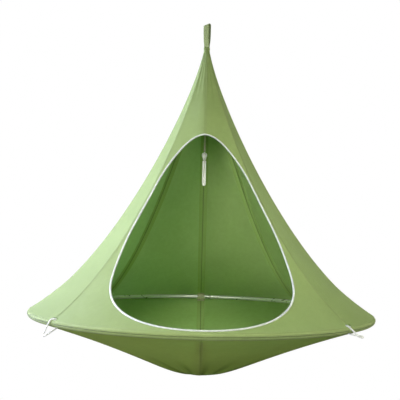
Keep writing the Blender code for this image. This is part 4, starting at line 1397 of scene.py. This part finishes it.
class Wiring:
    """A short way to add and join shader nodes."""

    def __init__(self, name: str) -> None:
        """Starts a material with a name."""
        self.material = bpy.data.materials.new(name)
        self.material.use_nodes = True
        self.tree = self.material.node_tree
        self.shader = self.tree.nodes["Principled BSDF"]
        self.place = self.add("TexCoord").outputs["Object"]

    def add(self, kind: str, inputs: dict | None = None, **settings: object) -> bpy.types.Node:
        """Adds a node.

        Args:
            kind: The node's type, without its ShaderNode prefix.
            inputs: A value or an output socket for each input, by name or number.
            **settings: The node's own properties.

        Returns:
            The node.
        """
        node = self.tree.nodes.new("ShaderNode" + kind)
        for key, value in settings.items():
            setattr(node, key, value)
        for key, value in (inputs or {}).items():
            if isinstance(value, Socket):
                self.tree.links.new(value, node.inputs[key])
            else:
                node.inputs[key].default_value = value
        return node

    def maths(self, operation: str, *values: object) -> Socket:
        """A maths node's output."""
        return self.add("Math", dict(enumerate(values)), operation=operation).outputs[0]

    def times(self, first: object, second: object, plus: object = 0.0) -> Socket:
        """One value times another, and a third added."""
        return self.maths("MULTIPLY_ADD", first, second, plus)

    def wave(self, value: Socket, turns: float) -> Socket:
        """The sine of a value times a number."""
        return self.maths("SINE", self.times(value, turns))

    def uv(self, name: str) -> Socket:
        """A map's own vector."""
        return self.add("UVMap", uv_map=name).outputs[0]

    def split(self, vector: Socket) -> Sequence[Socket]:
        """A vector's three parts."""
        return self.add("SeparateXYZ", {0: vector}).outputs

    def mapped(
        self, value: Socket, low: float, high: float, a: float = 0.0, b: float = 1.0,
    ) -> Socket:
        """A value taken smoothly from one range, low to high, to another, a to b."""
        return self.add("MapRange", {
            "Value": value, "From Min": low, "From Max": high, "To Min": a, "To Max": b,
        }, interpolation_type="SMOOTHSTEP").outputs[0]

    def noise(self, vector: Socket, scale: float, detail: float = 3.0) -> Socket:
        """A noise texture's value."""
        return self.add("TexNoise", {
            "Vector": vector, "Scale": scale, "Detail": detail, "Roughness": 0.6,
        }).outputs[0]

    def blended(self, share: object, first: object, second: object, mode: str = "MIX") -> Socket:
        """One colour over another, by a share.

        Args:
            share: How much of the second there is.
            first: A colour or a socket.
            second: A colour or a socket.
            mode: How they are blended.

        Returns:
            The colour.
        """
        ends = (c if isinstance(c, Socket) else (*c, 1.0) for c in (first, second))
        inputs = {0: share, **dict(zip((6, 7), ends))}
        return self.add("Mix", inputs, data_type="RGBA", blend_type=mode).outputs[2]

    def tinted(self, tone: Socket, low: float, high: float, dark: Colour, light: Colour) -> Socket:
        """A colour between two, as a tone goes from one value to another."""
        return self.blended(self.mapped(tone, low, high), dark, light)

    def finish(
        self, colour: Socket, height: Socket | None = None, strength: float = 1.0,
        **values: object,
    ) -> None:
        """Joins the colour and the height to the shader, and sets its values.

        Args:
            colour: The base colour.
            height: How high the surface stands, in metres.
            strength: How strongly that shows.
            **values: The shader's other inputs; underscores stand for spaces.
        """
        values["Base Color"] = colour
        if height is not None:
            bump = {"Height": height, "Distance": 1.0, "Strength": strength}
            values["Normal"] = self.add("Bump", bump).outputs[0]
        for key, value in values.items():
            socket = self.shader.inputs[key.replace("_", " ")]
            if isinstance(value, Socket):
                self.tree.links.new(value, socket)
            else:
                socket.default_value = value

    def backlit(self, share: float, glow: Colour) -> None:
        """Lets a share of the light through the cloth, and tints it."""
        glass = self.add("BsdfTranslucent", {"Color": (*glow, 1.0)})
        mix = self.add("MixShader", {0: share, 1: self.shader.outputs[0], 2: glass.outputs[0]})
        self.tree.links.new(mix.outputs[0], self.tree.nodes["Material Output"].inputs[0])


@dataclass(frozen=True)
class Cloth:
    """How one cloth looks.

    Attributes:
        dark: Its colour in the low places of the weave and of the wide mottling.
        light: Its colour elsewhere.
        pitch: The distance between its threads.
        depth: How high the threads stand.
        roughness: The shader's roughness.
        sheen: The shader's sheen.
        gloss: The shader's specular level.
        seam_dark: How dark the painted shade is along the seams' grooves, and along a strip's
            edges.
        seam_width: How wide that line is.
        hem_dark: How dark the painted shadow line is where the cloth meets the hem.
        low_dark: The most that painted shade darkens its lowest part; where it is set, its creases
            get painted shade too.
        middle_dark: How dark the painted shade line is along the middle of a strap, over the seam's
            inside corner.
        inner: How much of each colour the cloth's inner side keeps; above 1 it is painted light,
            below 1 painted shade.
        through: The share of light that comes through the cloth.
        glow: The colour that the light takes on its way through.
    """

    dark: Colour = (0.250, 0.330, 0.112)
    light: Colour = (0.306, 0.396, 0.145)
    pitch: float = 0.0011
    depth: float = 0.00016
    roughness: float = 0.56
    sheen: float = 0.08
    gloss: float = 0.3
    seam_dark: float = 0.5
    seam_width: float = 0.0022
    hem_dark: float = 0.0
    low_dark: float = 0.0
    middle_dark: float = 0.0
    inner: Colour = (1.0, 1.0, 1.0)
    through: float = 0.0
    glow: Colour = (0.30, 0.60, 0.10)


def dimmed(colour: Colour, *shares: float) -> Colour:
    """A colour times one share, or times one share for each part."""
    return tuple(c * s for c, s in zip(colour, shares * (3 // len(shares))))


class Palette:
    """Makes the tent's materials."""

    PUCKER = 0.00025
    PUCKER_PITCH = 0.0085
    MOTTLE_HEIGHT = 0.0012

    @staticmethod
    def painted_bowl_shade(w: Wiring, broad: Socket, side: Socket, amount: float) -> Socket:
        """How much painted shade darkens the bowl's outside, low down and in its creases.

        Args:
            w: The material's nodes.
            broad: The wide mottling.
            side: 0 outside and 1 inside.
            amount: The most that its lowest part is darkened.

        Returns:
            The share of the darkening.
        """
        spot = w.split(w.place)
        low = w.mapped(w.times(broad, 0.05, spot[2]), raised(-0.285), raised(-0.050), amount, 0.0)
        turn = w.maths("ARCTAN2", spot[0], w.times(spot[1], -1.0))
        fan = w.maths("SINE", w.times(turn, 17.0, w.times(w.wave(turn, 3.0), 1.4)))
        fan = w.mapped(w.times(broad, 1.6, fan), 0.7, 2.2, 0.0, 0.7)
        fan = w.times(fan, w.mapped(spot[2], raised(-0.23), raised(-0.13), 1.0, 0.0))
        shade = w.maths("MINIMUM", w.maths("ADD", low, fan), 0.95)
        return w.times(shade, w.maths("SUBTRACT", 1.0, side))

    def cloth(self, name: str, look: Cloth) -> Material:
        """A woven cloth with its thread, mottling and puckers, and painted shade along its seams,
        under the hem and low on the bowl.

        Args:
            name: The material's name.
            look: How it looks.

        Returns:
            The material.
        """
        w = Wiring(name)
        weave, turns = w.uv("weave"), 2 * math.pi / look.pitch
        across, along, _ = w.split(weave)
        thread = w.times(w.wave(across, turns), w.wave(along, turns))
        slub = w.noise(weave, 420.0, 2.0)
        broad, fine = w.noise(w.place, 3.1), w.noise(w.place, 46.0, 4.0)
        tone = w.times(broad, 0.55, w.times(fine, 0.45, -0.07))
        tone = w.times(slub, 0.14, w.times(thread, 0.06, tone))
        colour = w.tinted(tone, 0.30, 0.72, look.dark, look.light)
        gap, run, _ = w.split(w.uv("seam"))
        # Painted shade: a dark line in each seam's groove, and along the hem band's edges and
        # topstitched line.
        line = w.mapped(gap, 0.0004, look.seam_width, look.seam_dark, 0.0)
        # Painted shadow: a dark line on the cloth where it meets the hem, set on the bowl.
        hem = w.mapped(run, 0.0003, 0.0016, look.hem_dark, 0.0)
        colour = w.blended(w.maths("MAXIMUM", line, hem), colour, dimmed(look.dark, 0.30))
        side = w.split(w.uv("side"))[0]
        # Painted light: the inner multiplier lightens the inside of the canopy and the bowl.
        colour = w.blended(side, colour, look.inner, "MULTIPLY")
        # Painted shade: the bowl's outside darkens towards its lowest point and in the creases that
        # run into it.
        if look.low_dark:
            painted_bowl_shade = self.painted_bowl_shade(w, broad, side, look.low_dark)
            colour = w.blended(painted_bowl_shade, colour, dimmed(look.dark, 0.42, 0.45, 0.22))
        near = w.mapped(gap, 0.002, 0.014, 1.0, 0.0)
        ripple = w.times(w.times(w.wave(run, 2 * math.pi / self.PUCKER_PITCH), near), self.PUCKER)
        height = w.times(slub, look.depth * 1.2, w.times(thread, look.depth, ripple))
        height = w.times(w.noise(w.place, 17.0), self.MOTTLE_HEIGHT, height)
        w.finish(
            colour, height, 0.75, Roughness=w.times(fine, 0.10, look.roughness - 0.05),
            Sheen_Weight=look.sheen, Sheen_Roughness=0.5, Specular_IOR_Level=look.gloss,
        )
        if look.through:
            w.backlit(look.through, look.glow)
        return w.material

    def webbing(self, name: str, look: Cloth) -> Material:
        """Webbing with ribs that run along it and a chevron of threads across.

        Args:
            name: The material's name.
            look: How it looks.

        Returns:
            The material.
        """
        w = Wiring(name)
        weave, turns = w.uv("weave"), 2 * math.pi / look.pitch
        across, along, _ = w.split(weave)
        off = w.maths("ABSOLUTE", across)
        thread = w.wave(w.times(off, 0.55, along), turns * 0.8)
        weft = w.times(w.wave(across, turns), 0.6, w.times(thread, 0.5))
        mottle = w.noise(weave, 160.0)
        colour = w.tinted(w.times(weft, 0.16, mottle), 0.25, 0.75, look.dark, look.light)
        # Painted shade along a strip's edges and along a strap's middle.
        shade = w.mapped(w.split(w.uv("seam"))[0], 0.0, look.seam_width, look.seam_dark, 0.0)
        middle = w.mapped(off, 0.0014, 0.0040, look.middle_dark, 0.0)
        shade = w.maths("MAXIMUM", shade, middle)
        colour = w.blended(shade, colour, dimmed(look.dark, 0.45))
        # Painted shade: an inner multiplier below 1 darkens the loop's inner faces.
        colour = w.blended(w.split(w.uv("side"))[0], colour, look.inner, "MULTIPLY")
        w.finish(
            colour, w.times(mottle, look.depth, w.times(weft, look.depth)), 0.9,
            Roughness=w.times(mottle, 0.12, look.roughness - 0.06),
            Sheen_Weight=look.sheen, Sheen_Roughness=0.5, Specular_IOR_Level=look.gloss,
        )
        return w.material

    def braid(self, name: str, dark: Colour, light: Colour, size: float = 0.0030) -> Material:
        """A braided cord whose strands cross in both directions.

        Args:
            name: The material's name.
            dark: The colour between strands.
            light: The strands' colour.
            size: The pitch of the braid.

        Returns:
            The material.
        """
        w = Wiring(name)
        across, along, _ = w.split(w.uv("weave"))
        left, right = (
            w.wave(w.times(along, slant, across), 2 * math.pi / size) for slant in (0.6, -0.6)
        )
        strand = w.maths("MAXIMUM", left, right)
        fuzz = w.noise(w.place, 900.0)
        w.finish(
            w.tinted(w.times(strand, 0.35, fuzz), 0.15, 0.80, dark, light),
            w.times(fuzz, 0.0001, w.times(strand, size * 0.09)),
            Roughness=0.8, Sheen_Weight=0.35, Sheen_Roughness=0.5, Specular_IOR_Level=0.3,
        )
        return w.material

    def piping(self) -> Material:
        """White bias tape wrapped over a cord, with faint slanting strain lines."""
        w = Wiring("piping_tape")
        weave = w.uv("weave")
        across, along, _ = w.split(weave)
        rib = w.wave(w.times(across, 0.8, along), 2 * math.pi / 0.0016)
        pull = w.noise(weave, 90.0)
        tone = w.times(rib, 0.08, pull)
        w.finish(
            w.tinted(tone, 0.3, 0.7, (0.43, 0.47, 0.43), (0.56, 0.60, 0.56)),
            w.times(pull, 0.0006, w.times(rib, 0.00006)), 0.8,
            Roughness=0.5, Sheen_Weight=0.15, Specular_IOR_Level=0.4,
        )
        return w.material

    def metal(self, name: str, dark: Colour, light: Colour, rough: float, shine: float) -> Material:
        """Drawn metal, finely streaked along the ring, with faint handling marks.

        Args:
            name: The material's name.
            dark: Its colour in the streaks.
            light: Its colour elsewhere.
            rough: The shader's roughness.
            shine: How metallic it is.

        Returns:
            The material.
        """
        w = Wiring(name)
        flat = w.add("Mapping", {"Vector": w.place, "Scale": (1.0, 1.0, 14.0)}).outputs[0]
        streak, marks = w.noise(flat, 60.0, 4.0), w.noise(w.place, 24.0, 5.0)
        tone = w.times(streak, 0.6, w.times(marks, 0.4))
        w.finish(
            w.tinted(tone, 0.3, 0.7, dark, light), w.times(streak, 0.00003), 0.3,
            Roughness=w.times(marks, 0.22, rough - 0.11), Metallic=shine,
        )
        return w.material

    def thread(self, name: str, colour: Colour) -> Material:
        """Twisted sewing thread of a colour."""
        w = Wiring(name)
        fuzz = w.noise(w.place, 700.0, 2.0)
        w.finish(
            w.tinted(fuzz, 0.3, 0.7, dimmed(colour, 0.7), colour), Roughness=0.6, Sheen_Weight=0.2,
        )
        return w.material

    def build(self) -> dict[str, Material]:
        """Makes every material.

        Returns:
            The materials by the names that pieces ask for.
        """
        # The canopy's inner multiplier, above 1, is painted light inside the tent.
        canopy = Cloth(gloss=0.25, through=0.22, glow=(0.60, 0.90, 0.40), inner=(1.50, 1.56, 1.70))
        # The bowl is the canopy's cloth: its lighter colours are painted light against the shade it
        # hangs in, and its inner multiplier is painted light inside.
        bowl = Cloth(
            dark=(0.330, 0.425, 0.090), light=(0.400, 0.510, 0.118), roughness=0.75, sheen=0.0,
            gloss=0.05, through=0.22, glow=(0.58, 0.88, 0.45), inner=(1.10, 1.28, 1.9),
            # hem_dark paints a shadow line under the hem; low_dark paints shade low down and in the
            # creases.
            hem_dark=0.7, low_dark=0.60,
        )
        hem = Cloth(gloss=0.2, through=0.15, seam_dark=0.85, seam_width=0.0024)
        strap = Cloth(
            dark=(0.335, 0.485, 0.150), light=(0.395, 0.560, 0.185), pitch=0.0018, depth=0.0002,
            roughness=0.75, sheen=0.05, seam_dark=0.10, seam_width=0.0010, middle_dark=0.8,
        )
        # The loop's inner multiplier, below 1, is painted shade on its inner faces.
        loop = Cloth(
            dark=(0.345, 0.435, 0.200), light=(0.405, 0.510, 0.240), pitch=0.0022, depth=0.0003,
            roughness=0.72, sheen=0.25, seam_width=0.0016, inner=(0.40, 0.42, 0.32),
        )
        keeper = Cloth(
            dark=(0.50, 0.50, 0.31), light=(0.63, 0.63, 0.41), pitch=0.0022, depth=0.0003,
            roughness=0.78, sheen=0.25, seam_dark=0.55, seam_width=0.002,
        )
        metals = {
            "tube": ("ring_aluminium", (0.78, 0.80, 0.76), (0.92, 0.93, 0.90), 0.30, 0.60),
            "steel": ("spring_steel_bright", (0.38, 0.38, 0.40), (0.58, 0.58, 0.60), 0.28, 1.0),
        }
        threads = {
            "thread": ("sewing_thread", (0.25, 0.33, 0.12)),
            "bowl_thread": ("bowl_sewing_thread", (0.23, 0.30, 0.09)),
            "dark_thread": ("dark_sewing_thread", (0.10, 0.14, 0.05)),
        }
        cords = {
            "cord": ("braided_cord", (0.80, 0.79, 0.73), (0.97, 0.96, 0.93)),
            # The strand is the same cord as the knot and the bight; its darker colours are painted
            # shade.
            "strand": ("braided_strand", (0.34, 0.32, 0.21), (0.60, 0.57, 0.42)),
            "tie_cord": ("tie_down_cord", (0.48, 0.50, 0.46), (0.84, 0.86, 0.83), 0.0022),
        }
        return {
            "canopy": self.cloth("canopy_canvas", canopy),
            "bowl": self.cloth("bowl_canvas", bowl),
            "hem": self.cloth("hem_canvas", hem),
            "strap": self.webbing("seam_strap_weave", strap),
            "loop": self.webbing("loop_webbing_weave", loop),
            "keeper": self.webbing("keeper_webbing_weave", keeper),
            "piping": self.piping(),
            **{look: self.braid(*values) for look, values in cords.items()},
            **{look: self.metal(*values) for look, values in metals.items()},
            **{look: self.thread(*values) for look, values in threads.items()},
        }


@dataclass(frozen=True)
class Lens:
    """The camera that the photograph was fitted with, about the ring's middle."""

    distance: float = 2.434
    height: float = 0.2637
    aside: float = -0.0095
    pitch: float = 5.64
    roll: float = 1.306
    yaw: float = 0.16
    focal: float = 526.7
    frame: float = 400.0
    sensor: float = 36.0


Spot = tuple[float, float, float]


class Studio:
    """The camera, the soft lights and the pale floor."""

    FLOOR = -0.75
    FLOOR_REACH = 14.0
    FLOOR_COLOUR, FLOOR_ROUGHNESS = (0.18, 0.18, 0.16, 1.0), 0.9
    WORLD, WORLD_COLOUR, WHITE = 0.28, (1.0, 0.99, 0.88, 1.0), (1.0, 1.0, 1.0, 1.0)
    WARM = (1.0, 0.99, 0.94)

    @staticmethod
    def camera(lens: Lens) -> None:
        """Places the camera where the photograph was taken from."""
        data = bpy.data.cameras.new("camera")
        data.sensor_width = lens.sensor
        data.lens = lens.sensor * lens.focal / lens.frame
        data.clip_start, data.clip_end = 0.05, 60.0
        camera = bpy.data.objects.new("camera", data)
        bpy.context.scene.collection.objects.link(camera)
        place = Matrix.Translation((lens.aside, -lens.distance, raised(lens.height)))
        for angle, axis in ((lens.yaw, "Z"), (90 + lens.pitch, "X"), (lens.roll, "Z")):
            place = place @ Matrix.Rotation(math.radians(angle), 4, axis)
        camera.matrix_world = place
        bpy.context.scene.camera = camera

    @staticmethod
    def light(
        name: str, spot: Spot, aim: Spot, size: float, power: float, colour: Colour,
        spread: float = 180.0,
    ) -> None:
        """A square soft light.

        Args:
            name: Its name.
            spot: Where it hangs, as x, y and height.
            aim: What it points at, as x, y and height.
            size: The length of its side.
            power: Its power in watts.
            colour: Its colour.
            spread: How wide its grid lets it shine, in degrees.
        """
        data = bpy.data.lights.new(name, "AREA")
        data.spread = math.radians(spread)
        data.shape, data.size, data.energy, data.color = "SQUARE", size, power, colour
        light = bpy.data.objects.new(name, data)
        bpy.context.scene.collection.objects.link(light)
        light.location, target = (Vector((x, y, raised(h))) for x, y, h in (spot, aim))
        way = target - light.location
        light.rotation_euler = way.to_track_quat("-Z", "Y").to_euler()

    @staticmethod
    def seen_apart(tree: bpy.types.NodeTree, lit: Socket, seen: Socket, end: Socket) -> None:
        """Shows one shader to the camera, and another to the light that falls on things.

        Args:
            tree: The tree that they are in.
            lit: The shader that the light meets.
            seen: The shader that the camera sees.
            end: The output's input.
        """
        path, mix = (tree.nodes.new("ShaderNode" + kind) for kind in ("LightPath", "MixShader"))
        sources = (path.outputs["Is Camera Ray"], lit, seen)
        for source, socket in zip((*sources, mix.outputs[0]), (*mix.inputs[:3], end)):
            tree.links.new(source, socket)

    def world(self) -> None:
        """An even pale world, seen as white."""
        world = bpy.data.worlds.new("studio")
        bpy.context.scene.world = world
        world.use_nodes = True
        tree = world.node_tree
        tree.nodes.clear()
        lit, seen = (tree.nodes.new("ShaderNodeBackground") for _ in range(2))
        lit.inputs[0].default_value = self.WORLD_COLOUR
        lit.inputs[1].default_value = self.WORLD
        seen.inputs[0].default_value = self.WHITE
        out = tree.nodes.new("ShaderNodeOutputWorld")
        self.seen_apart(tree, lit.outputs[0], seen.outputs[0], out.inputs[0])

    def floor(self) -> None:
        """A plain pale floor below the tent, seen as white."""
        shape, far = bmesh.new(), self.FLOOR_REACH
        corners = [(-far, -far), (far, -far), (far, far), (-far, far)]
        shape.faces.new([shape.verts.new((x, y, raised(self.FLOOR))) for x, y in corners])
        floor = solid("floor", shape)
        bpy.context.scene.collection.objects.link(floor)
        material = bpy.data.materials.new("floor_paper")
        material.use_nodes = True
        tree = material.node_tree
        shader = tree.nodes["Principled BSDF"]
        shader.inputs["Base Color"].default_value = self.FLOOR_COLOUR
        shader.inputs["Roughness"].default_value = self.FLOOR_ROUGHNESS
        white, out = tree.nodes.new("ShaderNodeEmission"), tree.nodes["Material Output"]
        self.seen_apart(tree, shader.outputs[0], white.outputs[0], out.inputs[0])
        floor.data.materials.append(material)

    def build(self) -> None:
        """Sets up the whole studio."""
        self.camera(Lens())
        self.world()
        self.floor()
        for light in (
            ("key", (-3.0, 0.2, 1.2), (0.0, 0.0, 0.3), 2.2, 290.0, (0.68, 0.70, 1.0)),
            ("front_left", (-1.5, -3.1, 0.35), (0.3, 0.4, 0.10), 1.4, 6.8, self.WARM, 55.0),
            ("front_right", (0.8, -3.4, 0.10), (-0.3, 0.4, 0.05), 1.4, 2.0, self.WARM, 55.0),
            ("front_top", (0.0, -2.5, 2.3), (0.0, -0.1, 0.0), 1.0, 2.8, self.WARM, 40.0),
            ("right", (3.0, -1.0, 0.9), (0.3, 0.0, 0.2), 2.0, 54.0, (1.0, 1.0, 0.82)),
        ):
            self.light(*light)
        bpy.context.scene.view_settings.view_transform = "Standard"
        bpy.context.scene.view_settings.look = "None"


class Tent:
    """Puts the whole tent together."""

    def __init__(self) -> None:
        """Makes the materials and the maker that shares them."""
        self.looks = Palette().build()
        self.maker = Maker(self.looks)

    def repaint(self) -> None:
        """Gives the CAD's own buttons and springs their better material."""
        for name, node in frame["nodes"].items():
            if name.startswith(("snap_button", "leaf_spring")):
                for place in node.material_slots:
                    place.material = self.looks["steel"]

    def build(self) -> None:
        Rigging(self.maker).build()
        sewing, bending = Sewing(self.maker), Bending(self.maker)
        canopy, bowl = sewing.build()
        for quarter in QUARTERS:
            bending.tube(quarter)
        sewing.piping()
        sewing.neck()
        sewing.hanging_loop()
        Stitcher(self.maker).build()
        self.repaint()


def main() -> None:
    """Dresses the frame."""
    logging.basicConfig(level=logging.INFO, format="%(name)s: %(message)s")
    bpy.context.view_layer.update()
    Studio().build()
    Tent().build()


if __name__ == "__main__":
    main()
